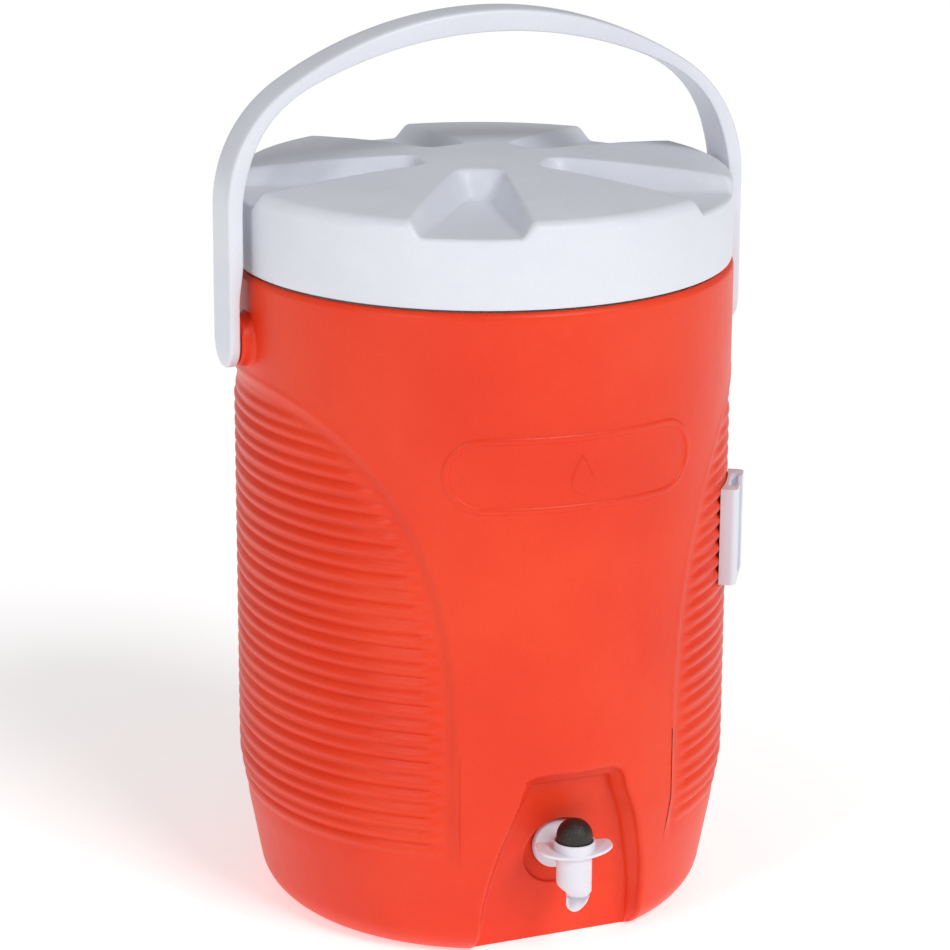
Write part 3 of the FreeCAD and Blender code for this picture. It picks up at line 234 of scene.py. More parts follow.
for share in (0.75, 0.5, 0.25):
    out = floor_round + (full_reach - edge_round - floor_round) * share
    rings.append(on_lean(edge_x - out_x * draft * (1 - share), edge_h - out_h * draft * (1 - share), out))
for bend in np.radians([0, 18, 36, 54, 72, 90]):
    x = edge_x - out_x * (draft + floor_round * (1 - math.cos(bend)))
    height = edge_h - out_h * (draft + floor_round * (1 - math.cos(bend)))
    height = np.where(edge_h < 0.01, 0, height)
    rings.append(on_lean(x, height, floor_round * (1 - math.sin(bend))))
ring_points = np.array([np.stack(ring, axis=1) for ring in rings])


def recess_spot(column, row):
    """A point of the recess's rings."""
    return tuple(ring_points[row, column].T)


def floor_y(z):
    """The leaning floor's distance from the jug's axis."""
    return -RECESS_DEPTH - z * math.tan(LEAN)


seat_sink = np.array([0.0, 0.25, 0.9, 1.8, 1.0, 0.4, 0.1, 0.0, 0.0])
seat_radii = SEAT_RADIUS + np.array([1.4, 0.6, 0.1, 0.0, 0.0, -0.3, -0.9, -1.8, -13.0])


def seat_spot(column, row):
    """The round seat: rings where it leaves the leaning floor, then its wall and its flat face."""
    angle = column * math.tau / 96
    radius = seat_radii[row]
    z = SEAT_HEIGHT + radius * np.sin(angle)
    y = np.where(row < 4, floor_y(z) + seat_sink[row], SEAT_PLANE - seat_sink[row])
    return radius * np.cos(angle), y, z


recess = moulded("recess_skin", len(rim_x) - 1, len(rings) - 1, recess_spot)
seat = moulded("seat_skin", 96, len(seat_radii) - 1, seat_spot)
pocket = joined("recess_skin", recess, seat)


def fill_flat(piece, chosen):
    """Selects the open edges whose two ends pass chosen(point in mm), and fills between them."""
    bpy.ops.object.select_all(action="DESELECT")
    piece.select_set(True)
    bpy.context.view_layer.objects.active = piece
    bpy.ops.object.mode_set(mode="EDIT")
    bpy.ops.mesh.select_mode(type="EDGE")
    bpy.ops.mesh.select_all(action="DESELECT")
    bpy.ops.mesh.select_non_manifold(extend=False, use_wire=True, use_boundary=True, use_multi_face=False,
                                     use_non_contiguous=False, use_verts=False)
    bpy.ops.object.mode_set(mode="OBJECT")
    points = piece.data.vertices
    for edge in piece.data.edges:
        if edge.select:
            edge.select = all(chosen(points[end].co * 1000) for end in edge.vertices)
    for face in piece.data.polygons:
        face.select = False
    for point in points:
        point.select = False
    bpy.ops.object.mode_set(mode="EDIT")
    bpy.ops.mesh.fill(use_beauty=True)
    bpy.ops.object.mode_set(mode="OBJECT")


floor_ends = [index for index, point in enumerate(pocket.data.vertices)
              if abs(point.co.z) < 1e-6 and abs(point.co.y * 1000 + RECESS_DEPTH) < 0.02]
for face in pocket.data.polygons:
    face.select = False
for edge in pocket.data.edges:
    edge.select = False
for index, point in enumerate(pocket.data.vertices):
    point.select = index in floor_ends
bpy.ops.object.mode_set(mode="EDIT")
bpy.ops.mesh.select_mode(type="VERT")
bpy.ops.mesh.edge_face_add()
bpy.ops.object.mode_set(mode="OBJECT")
fill_flat(pocket, lambda p: abs(p.y - floor_y(p.z)) < 0.02)

# ---------------------------------------------------------------- base of the shell
# The shell stands on a flat ring, with a wide groove inside it that keeps the floor from rocking.
# A hole in the groove is where the foam was poured in, and a plug closes it.
PLUG_OUT, PLUG_HOLE = 80.0, 15.2
groove_radii = np.array([100.8, 100.2, 99.6, 98.8])
groove_heights = np.array([0.0, 0.3, 2.2, 2.5])


def groove_outside(column, row):
    """Outer step of the groove."""
    angle = column * math.tau / 128
    return groove_radii[row] * np.cos(angle), groove_radii[row] * np.sin(angle), groove_heights[row]


middle_radii = np.array([61.2, 60.4, 59.8, 59.0, 40.0, 20.0, 0.0])
middle_heights = np.array([2.5, 2.2, 0.3, 0.0, 0.0, 0.0, 0.0])


def groove_inside(column, row):
    """Inner step of the groove and the middle of the base."""
    angle = column * math.tau / 128
    return middle_radii[row] * np.cos(angle), middle_radii[row] * np.sin(angle), middle_heights[row]


def plug_hole(column, row):
    """Wall of the filling hole."""
    angle = column * math.tau / 48
    return PLUG_HOLE * np.cos(angle), PLUG_OUT + PLUG_HOLE * np.sin(angle), np.array([2.5, 6.0])[row]


outer_step = moulded("groove_outer", 128, 3, groove_outside)
inner_step = moulded("groove_inner", 128, 6, groove_inside)
filling_hole = moulded("groove_hole", 48, 1, plug_hole)
shell = joined("jug_shell", wall, pocket, outer_step, inner_step, filling_hole)
fill_flat(shell, lambda p: abs(p.z) < 0.01)
fill_flat(shell, lambda p: abs(p.z - 2.5) < 0.01)

# ---------------------------------------------------------------- pivot bosses and badge frame
# A round boss stands out of each side of the shell for the handle's pin, with a rounded rim.
# On the front, a plain raised frame with rounded ends holds a water drop, both 0.8 mm proud.
PIVOT_HEIGHT, BOSS_RADIUS, BOSS_FACE = 340.0, 14.7, 148.8
boss_radii = BOSS_RADIUS + np.array([4.2, 2.6, 1.4, 0.6, 0.15, 0.0, 0.0, -0.25, -0.8, -1.8, -8.0, -14.7])
boss_rise = np.array([-0.5, 0.05, 0.4, 1.1, 2.2, 3.6])
boss_drop = np.array([1.8, 0.8, 0.25, 0.0, 0.0, 0.0])


def boss_spot(side):
    """Rings of one boss: a flare on the wall, the side, the rounded rim and the face."""
    def spot(column, row):
        angle = column * math.tau / 72
        y = boss_radii[row] * np.cos(angle)
        on_wall = np.sqrt(WALL ** 2 - y * y) - 0.3 + boss_rise[np.minimum(row, 5)]
        on_face = BOSS_FACE - boss_drop[np.maximum(row - 6, 0)]
        return side * np.where(row < 6, on_wall, on_face), y, PIVOT_HEIGHT + boss_radii[row] * np.sin(angle)
    return spot


FRAME_MIDDLE, FRAME_LONG, FRAME_HIGH = 287.0, 74.0, 21.5
bar_inset = np.array([-0.5, 0.1, 0.6, 1.2, 2.0, 2.8, 3.4, 3.9, 4.5])
bar_rise = np.array([-0.5, 0.1, 0.55, 0.76, 0.8, 0.76, 0.55, 0.1, -0.5])


def badge_frame(column, row):
    """The raised bar, round a long frame with rounded ends."""
    half_high = FRAME_HIGH - bar_inset[row]
    straight = (FRAME_LONG - FRAME_HIGH) * 2
    lap = column / 240 * (2 * straight + math.tau * FRAME_HIGH)
    turned_by = np.select(
        [lap < straight, lap < straight + math.pi * FRAME_HIGH, lap < 2 * straight + math.pi * FRAME_HIGH],
        [0, (lap - straight) / FRAME_HIGH, math.pi],
        math.pi + (lap - 2 * straight - math.pi * FRAME_HIGH) / FRAME_HIGH)
    middle_x = np.select(
        [lap < straight, lap < straight + math.pi * FRAME_HIGH, lap < 2 * straight + math.pi * FRAME_HIGH],
        [lap - straight / 2, straight / 2, straight * 1.5 + math.pi * FRAME_HIGH - lap], -straight / 2)
    x = middle_x + half_high * np.sin(turned_by)
    radius = WALL + bar_rise[row]
    return x, -np.sqrt(radius ** 2 - x * x), FRAME_MIDDLE - half_high * np.cos(turned_by)


drop_scale = np.array([1.06, 1.0, 0.94, 0.86, 0.7, 0.35, 0.0])
drop_rise = np.array([-0.5, 0.15, 0.6, 0.8, 0.8, 0.8, 0.8])


def badge_drop(column, row):
    """A flat raised drop."""
    angle = column * math.tau / 72
    x = 9.3 * np.sin(angle) * np.sin(angle / 2) ** 1.5 * drop_scale[row]
    z = FRAME_MIDDLE - 1 + 11.1 * np.cos(angle) * drop_scale[row]
    radius = WALL + drop_rise[row]
    return x, -np.sqrt(radius ** 2 - x * x), z


bosses = [joined("boss", moulded("boss", 72, 11, boss_spot(side))) for side in (1, -1)]
frame_bar = joined("badge_frame", moulded("badge_frame", 240, 8, badge_frame))
drop = joined("badge_drop", moulded("badge_drop", 72, 6, badge_drop))
bpy.ops.object.select_all(action="DESELECT")
for part in [*bosses, frame_bar, drop, shell]:
    part.select_set(True)
bpy.context.view_layer.objects.active = shell
bpy.ops.object.join()
bpy.ops.object.shade_smooth_by_angle(angle=math.radians(50))


class Signal:
    """A shader socket; sums on it add Math nodes, and node() adds any other node."""

    def __init__(self, tree, socket=None):
        self.tree = tree
        self.socket = socket

    def node(self, kind, settings=None, inputs=None, output=0):
        """Adds a node: its settings first, then the values or links of its sockets."""
        made = self.tree.nodes.new(kind)
        for name, value in (settings or {}).items():
            if name == "stops":
                ramp = made.color_ramp
                while len(ramp.elements) < len(value):
                    ramp.elements.new(0.5)
                for stop, (place, shade) in zip(ramp.elements, value):
                    stop.position = place
                    stop.color = shade
            else:
                setattr(made, name, value)
        for name, value in (inputs or {}).items():
            if isinstance(value, Signal):
                self.tree.links.new(value.socket, made.inputs[name])
            else:
                made.inputs[name].default_value = value
        return Signal(self.tree, made.outputs[output])

    def maths(self, operation, first, second=0.0):
        return self.node("ShaderNodeMath", {"operation": operation}, {0: first, 1: second})

    def __add__(self, other):
        return self.maths("ADD", self, other)

    def __radd__(self, other):
        return self.maths("ADD", other, self)

    def __sub__(self, other):
        return self.maths("SUBTRACT", self, other)

    def __rsub__(self, other):
        return self.maths("SUBTRACT", other, self)

    def __mul__(self, other):
        return self.maths("MULTIPLY", self, other)

    def __rmul__(self, other):
        return self.maths("MULTIPLY", other, self)

    def between(self, low, high, start=0.0, end=1.0):
        """Runs smoothly from start to end as the signal goes from low to high."""
        return self.node("ShaderNodeMapRange", {"interpolation_type": "SMOOTHSTEP"},
                         {"Value": self, "From Min": low, "From Max": high, "To Min": start, "To Max": end})


def start_material(name):
    """An empty material with a Principled shader; returns it, its object coordinates and the shader."""
    material = bpy.data.materials.new(name)
    material.use_nodes = True
    tree = material.node_tree
    shader = tree.nodes["Principled BSDF"]
    place = Signal(tree).node("ShaderNodeTexCoord", output=3)
    return material, place, shader


def feed(place, shader, **inputs):
    """Links signals to the shader's sockets, and sets constants on them directly."""
    for name, value in inputs.items():
        socket = shader.inputs[name.replace("_", " ")]
        if isinstance(value, Signal):
            place.tree.links.new(value.socket, socket)
        else:
            socket.default_value = value


def moulded_plastic(name, deep, base, pale, rough, pebble, bump, gloss=0.4, scuffs=0.3):
    """Satin moulded plastic: cloudy pigment, fine pebbled grain, soft flow marks and light scuffs."""
    material, place, shader = start_material(name)
    cloud = place.node("ShaderNodeTexNoise", None,
                       {"Vector": place, "Scale": 9.0, "Detail": 4.0, "Roughness": 0.55})
    speck = place.node("ShaderNodeTexNoise", None, {"Vector": place, "Scale": 900.0, "Detail": 2.0})
    stretched = place.node("ShaderNodeMapping", None,
                           {"Vector": place, "Rotation": (0.4, 0.2, 0.7), "Scale": (260, 40, 90)})
    marks = place.node("ShaderNodeTexNoise", None,
                       {"Vector": stretched, "Scale": 1.0, "Detail": 6.0, "Roughness": 0.7})
    scuff = marks.between(0.66, 0.8) * scuffs
    tone = cloud.between(0.25, 0.75) * 0.85 + speck.between(0.35, 0.65) * 0.15
    shades = [(0.0, (*deep, 1)), (0.5, (*base, 1)), (1.0, (*pale, 1))]
    mixed = place.node("ShaderNodeValToRGB", {"stops": shades}, {"Fac": tone})
    worn = place.node("ShaderNodeMix", {"data_type": "RGBA"},
                      {0: scuff * 0.5, 6: mixed, 7: (*pale, 1)}, output=2)
    grain = place.node("ShaderNodeTexVoronoi", {"feature": "SMOOTH_F1"},
                       {"Vector": place, "Scale": pebble, "Smoothness": 0.8})
    ripple = place.node("ShaderNodeTexNoise", None, {"Vector": place, "Scale": 60.0, "Detail": 3.0})
    height = grain * 0.35 + ripple * 1.6 - scuff * 0.2
    normal = place.node("ShaderNodeBump", None, {"Height": height, "Strength": 0.5, "Distance": bump})
    finish = cloud.between(0.3, 0.7, rough - 0.04, rough + 0.04) + speck * 0.05 + scuff * 0.16
    feed(place, shader, Base_Color=worn, Roughness=finish, Normal=normal, Specular_IOR_Level=gloss)
    return material


def dress(piece, material, body=None, replaced=()):
    """Gives a piece its only material, and for a new piece its body, hiding the nodes it stands for."""
    piece.data.materials.clear()
    piece.data.materials.append(material)
    if body:
        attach(piece, body)
        if replaced:
            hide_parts(*replaced)


orange = moulded_plastic("orange_polyethylene", (0.74, 0.034, 0.007), (0.79, 0.042, 0.009),
                         (0.83, 0.056, 0.013), 0.36, 1400, 0.0005, gloss=0.32)
dress(shell, orange, "jug", ["outer_shell"])
dress(nodes["foam_fill_plug"], orange)

# ---------------------------------------------------------------- tank and insulation
# The tank is a smooth white food-grade polyethylene liner, with the threaded neck for the lid.
# Rigid polyurethane foam fills the space between tank and shell, and a disc of it the lid.
white_tank = moulded_plastic("tank_polyethylene", (0.76, 0.77, 0.76), (0.82, 0.83, 0.82), (0.87, 0.88, 0.88),
                             0.3, 900, 0.0003, scuffs=0.2)
dress(nodes["inner_liner"], white_tank)
dress(nodes["lid_liner"], white_tank)

foam, place, shader = start_material("rigid_foam")
cells = place.node("ShaderNodeTexVoronoi", None, {"Vector": place, "Scale": 700.0})
lumps = place.node("ShaderNodeTexNoise", None, {"Vector": place, "Scale": 35.0, "Detail": 5.0})
foam_stops = [(0.2, (0.62, 0.5, 0.28, 1)), (0.8, (0.86, 0.77, 0.54, 1))]
foam_colour = place.node("ShaderNodeValToRGB", {"stops": foam_stops}, {"Fac": lumps * 0.7 + cells * 0.4})
foam_bump = place.node("ShaderNodeBump", None,
                       {"Height": cells + lumps * 0.8, "Strength": 0.8, "Distance": 0.0008})
feed(place, shader, Base_Color=foam_colour, Roughness=lumps.between(0.3, 0.7, 0.8, 0.95), Normal=foam_bump)
dress(nodes["foam_insulation"], foam)
dress(nodes["lid_foam"], foam)

# ---------------------------------------------------------------- carry handle
# The bail is moulded in white polypropylene: flat arms, round shoulders and a thicker grip.
# Its section is a low bar with rounded corners. It snaps over two hidden pins.
ARM_OUT, ARM_IN, STRAP_HALF, GRIP_HALF = 156.2, 149.6, 15.0, 12.5
HANDLE_TOP, GRIP_LOW, TAPER_LOW = 517.0, 504.0, 414.7


def arch_half(side_x, shoulder, crown, top, count):
    """Points up one arm from the pivot's height, round the shoulder and along half the crown."""
    crown_z = top - crown
    middle_x = side_x - shoulder
    middle_z = crown_z + math.sqrt((crown - shoulder) ** 2 - middle_x ** 2)
    lean = math.atan2(middle_z - crown_z, middle_x)
    arm = np.linspace(PIVOT_HEIGHT, middle_z, count[0], endpoint=False)
    bend = np.linspace(0, lean, count[1], endpoint=False)
    bow = np.linspace(lean, math.pi / 2, count[2])
    x = np.concatenate([np.full(count[0], side_x), middle_x + shoulder * np.cos(bend), crown * np.cos(bow)])
    z = np.concatenate([arm, middle_z + shoulder * np.sin(bend), crown_z + crown * np.sin(bow)])
    return x, z


outer_x, outer_z = arch_half(ARM_OUT, 80.0, 220.0, HANDLE_TOP, (16, 26, 30))
inner_x, inner_z = arch_half(ARM_IN, 77.0, 252.0, GRIP_LOW, (16, 26, 30))
end_bend = np.radians(np.array([0, 6, 14, 24, 36, 50, 64, 78]))
end_z = PIVOT_HEIGHT - STRAP_HALF * np.cos(end_bend)
taper = np.clip((outer_z - TAPER_LOW) / (HANDLE_TOP - TAPER_LOW), 0, 1)
half_width = np.concatenate([STRAP_HALF * np.sin(end_bend), STRAP_HALF - (STRAP_HALF - GRIP_HALF) * taper])
fullness = np.clip(half_width / STRAP_HALF, 0, 1) ** 0.3
fullness[len(end_bend):] = 1
outer_x = np.concatenate([np.full(len(end_bend), ARM_OUT), outer_x])
inner_x = np.concatenate([np.full(len(end_bend), ARM_IN), inner_x])
outer_z, inner_z = (np.concatenate([end_z, z]) for z in (outer_z, inner_z))


def both_halves(values, flip=1):
    """A run of values on the left half, and their mirror on the right."""
    return np.concatenate([flip * values, values[-2::-1]])


out_line = np.stack([both_halves(outer_x, -1), both_halves(outer_z)], axis=1)
in_line = np.stack([both_halves(inner_x, -1), both_halves(inner_z)], axis=1)
half_width, fullness = both_halves(half_width), both_halves(fullness)
clear_of_boss = soft_step((in_line[:, 1] - 362) / 25) * soft_step((470 - in_line[:, 1]) / 40)
in_line[:, 0] -= 2.6 * clear_of_boss * np.sign(in_line[:, 0])

section = np.array([(-1, -0.8), (-1, 0.62), (-0.9, 0.93), (-0.55, 1.0), (0.55, 1.0), (0.93, 0.86), (1, 0.5),
                    (1, -0.8), (0.95, -0.96), (0.1, -1.0), (-0.1, -1.0), (-0.95, -0.96)], dtype=float)
for _ in range(2):
    after = np.roll(section, -1, axis=0)
    section = np.stack([section * 0.78 + after * 0.22, section * 0.22 + after * 0.78], axis=1).reshape(-1, 2)
section /= np.abs(section).max(axis=0)


def handle_spot(column, row):
    """A point of the section, carried along the arch."""
    side = section[column % len(section)]
    centre = (out_line[row] + in_line[row]) / 2
    way = (out_line[row] - in_line[row]) / 2
    deep = side[:, 1] * fullness[row]
    return centre[:, 0] + way[:, 0] * deep, side[:, 0] * half_width[row], centre[:, 1] + way[:, 1] * deep


handle = joined("handle_bail", moulded("handle_bail", len(section), len(out_line) - 1, handle_spot))
bpy.ops.object.shade_smooth()
white = moulded_plastic("white_polypropylene", (0.68, 0.70, 0.77), (0.72, 0.74, 0.81), (0.76, 0.78, 0.84),
                        0.32, 1500, 0.0003)
dress(handle, white, "handle", ["carry_handle"])


def turned(name, profile, centre, axis, steps=72, edge=0.0):
    """A closed profile (radius, height in mm) spun about an axis, with its edges rounded."""
    bpy.ops.object.select_all(action="DESELECT")
    bpy.ops.mesh.primitive_circle_add(vertices=len(profile), radius=1, fill_type="NOTHING")
    piece = bpy.context.object
    piece.name = piece.data.name = name
    axis = Vector(axis)
    across = axis.orthogonal().normalized()
    foot = Vector(centre) * MM
    for point, (radius, height) in zip(piece.data.vertices, profile):
        point.co = foot + (across * radius + axis * height) * MM
    bpy.ops.object.mode_set(mode="EDIT")
    bpy.ops.mesh.select_all(action="SELECT")
    bpy.ops.mesh.spin(steps=steps, angle=math.tau, center=foot, axis=axis)
    bpy.ops.mesh.select_all(action="SELECT")
    bpy.ops.mesh.remove_doubles(threshold=0.000005)
    bpy.ops.mesh.dissolve_degenerate(threshold=0.000001)
    bpy.ops.mesh.normals_make_consistent(inside=False)
    bpy.ops.object.mode_set(mode="OBJECT")
    if edge:
        rounding = piece.modifiers.new("edges", "BEVEL")
        rounding.width = edge * MM
        rounding.segments = 3
        rounding.limit_method = "ANGLE"
        rounding.angle_limit = math.radians(35)
        bpy.ops.object.modifier_apply(modifier="edges")
    bpy.ops.object.shade_smooth_by_angle(angle=math.radians(40))
    return piece


for word, side in (("right", 1), ("left", -1)):
    pin = turned("pivot_pin_" + word, [(0, 0), (5, 0), (5, 27.0), (3.2, 28.6), (0, 28.6)],
                 (side * 126, 0, PIVOT_HEIGHT), (side, 0, 0), 40, 0.5)
    dress(pin, white, "jug", ["handle_pin_" + word])

grey_nylon = moulded_plastic("grey_nylon", (0.03, 0.03, 0.035), (0.05, 0.05, 0.055), (0.09, 0.09, 0.1),
                             0.45, 1200, 0.0002)
dress(nodes["handle_washer_left"], grey_nylon)
dress(nodes["handle_washer_right"], grey_nylon)

# ---------------------------------------------------------------- lid
# The lid is a white polypropylene cap with a slightly crowned top and a deep skirt. Five wedge
# notches with sloping, rounded walls are sunk from near the middle to the rim, for the fingers.
LID_RADIUS, LID_LOW, LID_EDGE, LID_TOP = 141.0, 378.2, 425.4, 433.0
NOTCH_FLOOR, NOTCH_START, NOTCH_INNER, NOTCH_OUTER, NOTCH_CLOCK = 416.6, 38.0, 11.5, 33.0, -115.0
LID_COLUMNS, TOP_ROWS, RIM_ROWS = 540, 84, 8


def notch_share(x, y):
    """1 on the floor of a notch, 0 on the top, and between them on the sloping walls."""
    share = np.zeros(np.broadcast(x, y).shape)
    widening = (NOTCH_OUTER - NOTCH_INNER) / (LID_RADIUS - NOTCH_START)
    for clock in np.radians(NOTCH_CLOCK + 72 * np.arange(5)):
        along = x * math.cos(clock) + y * math.sin(clock)
        aside = np.abs(y * math.cos(clock) - x * math.sin(clock))
        to_side = (NOTCH_INNER + (along - NOTCH_START) * widening - aside) / math.hypot(1, widening)
        to_start = along - NOTCH_START
        blend = np.clip(0.5 + (to_side - to_start) / 16, 0, 1)
        inside = to_side * (1 - blend) + to_start * blend - 8 * blend * (1 - blend)
        share = np.maximum(share, soft_step((inside + 2.4) / 8.4))
    return share


def lid_height(x, y):
    """Height of the lid's top: the crown, sunk to the floor in the notches."""
    flat = LID_RADIUS - 6
    bend = (flat ** 2 + (LID_TOP - LID_EDGE) ** 2) / (2 * (LID_TOP - LID_EDGE))
    crown = LID_TOP - bend + np.sqrt(bend ** 2 - x * x - y * y)
    share = notch_share(x, y)
    return crown * (1 - share) + NOTCH_FLOOR * share


lid_turns = np.arange(LID_COLUMNS + 1) * math.tau / LID_COLUMNS
rim_share = notch_share(138 * np.cos(lid_turns), 138 * np.sin(lid_turns))
rim_round = 6.5 - 4.0 * rim_share
skirt = np.array([0.2, 0.5, 0.8, 0.96])
under = [(140.6, 378.35), (140.0, 378.2), (138.2, 378.2), (137.5, 378.9), (137.5, 400), (137.5, 409.5),
         (133, 411.5), (60, 411.5), (0, 411.5)]


def lid_spot(column, row):
    """Rows run from the middle to the rim, round it, down the skirt and back under the top."""
    angle, bend_radius = lid_turns[column], rim_round[column]
    flat = (LID_RADIUS - bend_radius) * np.minimum(row / TOP_ROWS, 1)
    bend = np.clip((row - TOP_ROWS) / RIM_ROWS, 0, 1) * math.pi / 2
    radius = flat + np.where(row > TOP_ROWS, bend_radius * np.sin(bend), 0)
    height = lid_height(flat * np.cos(angle), flat * np.sin(angle)) - bend_radius * (1 - np.cos(bend))
    down = np.clip(row - TOP_ROWS - RIM_ROWS - 1, 0, len(skirt) - 1)
    height = np.where(row > TOP_ROWS + RIM_ROWS, height + (LID_LOW - height) * skirt[down], height)
    back = row - TOP_ROWS - RIM_ROWS - len(skirt) - 1
    edge = np.array(under)[np.clip(back, 0, len(under) - 1)]
    radius = np.where(back >= 0, edge[:, 0], radius)
    height = np.where(back >= 0, edge[:, 1], height)
    return radius * np.cos(angle), radius * np.sin(angle), height


lid_rows = TOP_ROWS + RIM_ROWS + len(skirt) + len(under)
lid = joined("lid_cap", moulded("lid_cap", LID_COLUMNS, lid_rows, lid_spot))
bpy.ops.object.shade_smooth_by_angle(angle=math.radians(50))
lid_white = moulded_plastic("lid_polypropylene", (0.68, 0.70, 0.77), (0.72, 0.74, 0.81), (0.76, 0.78, 0.84),
                            0.38, 1000, 0.0005)
dress(lid, lid_white, "lid", ["lid_shell"])

rubber, place, shader = start_material("seal_rubber")
dust = place.node("ShaderNodeTexNoise", None, {"Vector": place, "Scale": 45.0, "Detail": 6.0})
grit = place.node("ShaderNodeTexNoise", None, {"Vector": place, "Scale": 1500.0, "Detail": 2.0})
rubber_stops = [(0.3, (0.022, 0.022, 0.024, 1)), (0.75, (0.075, 0.075, 0.08, 1))]
rubber_colour = place.node("ShaderNodeValToRGB", {"stops": rubber_stops}, {"Fac": dust * 0.8 + grit * 0.2})
rubber_bump = place.node("ShaderNodeBump", None,
                         {"Height": grit + dust * 0.5, "Strength": 0.5, "Distance": 0.0002})
feed(place, shader, Base_Color=rubber_colour, Roughness=dust.between(0.3, 0.7, 0.55, 0.78), Normal=rubber_bump)
for name in ("lid_gasket", "spigot_inner_washer", "stem_seal", "valve_plug"):
    dress(nodes[name], rubber)

# ---------------------------------------------------------------- spigot body
# The spigot is moulded in white polypropylene: a threaded shank with a round flange, a short
# tube, and an upright barrel whose thinner spout is cut off on a slant. A nut holds it inside.
BARREL_Y = -138.0
SPOUT_FACING, SPOUT_SIDE, SPOUT_SHIFT = math.radians(-98), math.radians(-22.5), 2.3
tube_rows = [(10, 64, 0), (10, 58, 0), (10, 52, 0), (10, 47.4, 0), (9.7, 45.6, 0.1), (8.9, 43.8, 0.45),
             (7.7, 41.8, 1), (6.9, 40.6, 1), (6.6, 39.6, 1), (6.5, 38.0, 1)]
bore_rows = [(5.0, 42.0, 1), (5.0, 45.9, 0.6), (3.4, 46, 0), (3.4, 48, 0), (7.6, 48, 0), (7.6, 63.8, 0),
             (7.8, 64, 0), (10, 64, 0)]
rim_rows = [(6.5, 0.5), (6.42, 0.14), (6.15, 0.0), (5.4, 0.0), (5.1, 0.14), (5.0, 0.5)]


def tip_height(turn):
    """Height of the spout's slanting edge: high where it faces out, then down to a round tip."""
    away = np.abs((turn + math.pi) % math.tau - math.pi)
    reach = (1 - np.cos(away)) / 2
    return 40.0 - 14.0 * np.clip((reach - 0.36) / 0.64, 0, 1) ** 0.9


def barrel_spot(column, row):
    """The barrel's outside, the spout, its cut edge, and back up the bore."""
    angle = column * math.tau / 120
    cut = tip_height(angle - SPOUT_FACING)
    spots = []
    for radius, height, share in tube_rows:
        spots.append((radius, np.maximum(height, cut), share))
    for share in (0.33, 0.66):
        spots.append((6.5, 38 + (np.minimum(cut, 38) - 38) * share, 1))
    for radius, lift in rim_rows:
        spots.append((radius, cut + lift, 1))
    for share in (0.33, 0.66):
        spots.append((5.0, cut + 0.5 + (42 - cut - 0.5) * share, 1))
    spots += list(bore_rows)
    table = np.array([np.broadcast_arrays(radius + 0 * angle, height, share)
                      for radius, height, share in spots])
    radius, height, share = table[row, :, np.arange(len(row))].T
    shift = SPOUT_SHIFT * share
    return (radius * np.cos(angle) + shift * math.cos(SPOUT_SIDE),
            BARREL_Y + radius * np.sin(angle) + shift * math.sin(SPOUT_SIDE), height)


barrel_rows = len(tube_rows) + len(rim_rows) + len(bore_rows) + 3
barrel = joined("spigot_barrel", moulded("spigot_barrel", 120, barrel_rows, barrel_spot))
bpy.ops.object.shade_smooth_by_angle(angle=math.radians(40))
shank_profile = [(0, 83), (7.0, 83), (7.9, 84), (7.9, 112.4), (0, 112.4)]
shank = turned("spigot_shank", shank_profile, (0, 0, 56.5), (0, -1, 0), 48)
flange_profile = [(0, 111.2), (13.8, 111.2), (14.4, 111.8), (14.4, 114.0), (13.8, 114.8), (9.0, 115.6),
                  (7.6, 116.4), (6.9, 117.6), (6.5, 119.5), (6.4, 123), (0, 123)]
flange = turned("spigot_flange", flange_profile, (0, 0, 60.4), (0, -1, 0), 96)
link = turned("spigot_link", [(0, 114), (6.4, 114), (6.4, 132), (0, 132)], (0, 0, 57.4), (0, -1, 0), 72)
for part in (shank, flange, link, barrel):
    part.select_set(True)
bpy.context.view_layer.objects.active = barrel
bpy.ops.object.join()
spigot = barrel
spigot.name = spigot.data.name = "spigot_tube"
washer = turned("outer_washer", [(8.0, 110.6), (12.4, 110.6), (12.4, 112.4), (8.0, 112.4)],
                (0, 0, 58.4), (0, -1, 0), 72)
dress(washer, rubber, "jug", ["spigot_outer_washer"])
spigot_white = moulded_plastic("spigot_polypropylene", (0.70, 0.71, 0.78), (0.74, 0.75, 0.82),
                               (0.78, 0.79, 0.86), 0.3, 1800, 0.0002)
dress(spigot, spigot_white, "jug", ["spigot_body"])
dress(nodes["spigot_nut"], spigot_white)

# ---------------------------------------------------------------- bonnet and push button
# The bonnet screws into the barrel: a round collar, and a thin plate whose two ends curl up
# for the fingers. In the collar sits a domed button of black, finely textured soft plastic.
WING_LONG, WING_WIDE, WING_TURN = 21.3, 11.8, math.radians(-10)
WING_CURL, PLATE_HEIGHT, PLATE_SHAPE = 70.0, 64.0, 4.2
collar_profile = [(11.7, 64), (11.7, 71.6), (11.3, 72), (10.85, 72), (10.55, 71.7), (10.55, 66.2), (2.4, 66.2),
                  (2.4, 61), (7.4, 61), (7.4, 64)]
collar = turned("collar", collar_profile, (0, BARREL_Y, 0), (0, 0, 1), 96)
plate_share = np.array([0.0, 0.3, 0.6, 0.85, 0.94, 0.98, 1.0, 1.0, 0.98, 0.94, 0.85, 0.6, 0.3, 0.0])
plate_rise = np.array([2.0, 2.0, 2.0, 2.0, 1.95, 1.75, 1.35, 0.65, 0.25, 0.05, 0.0, 0.0, 0.0, 0.0])


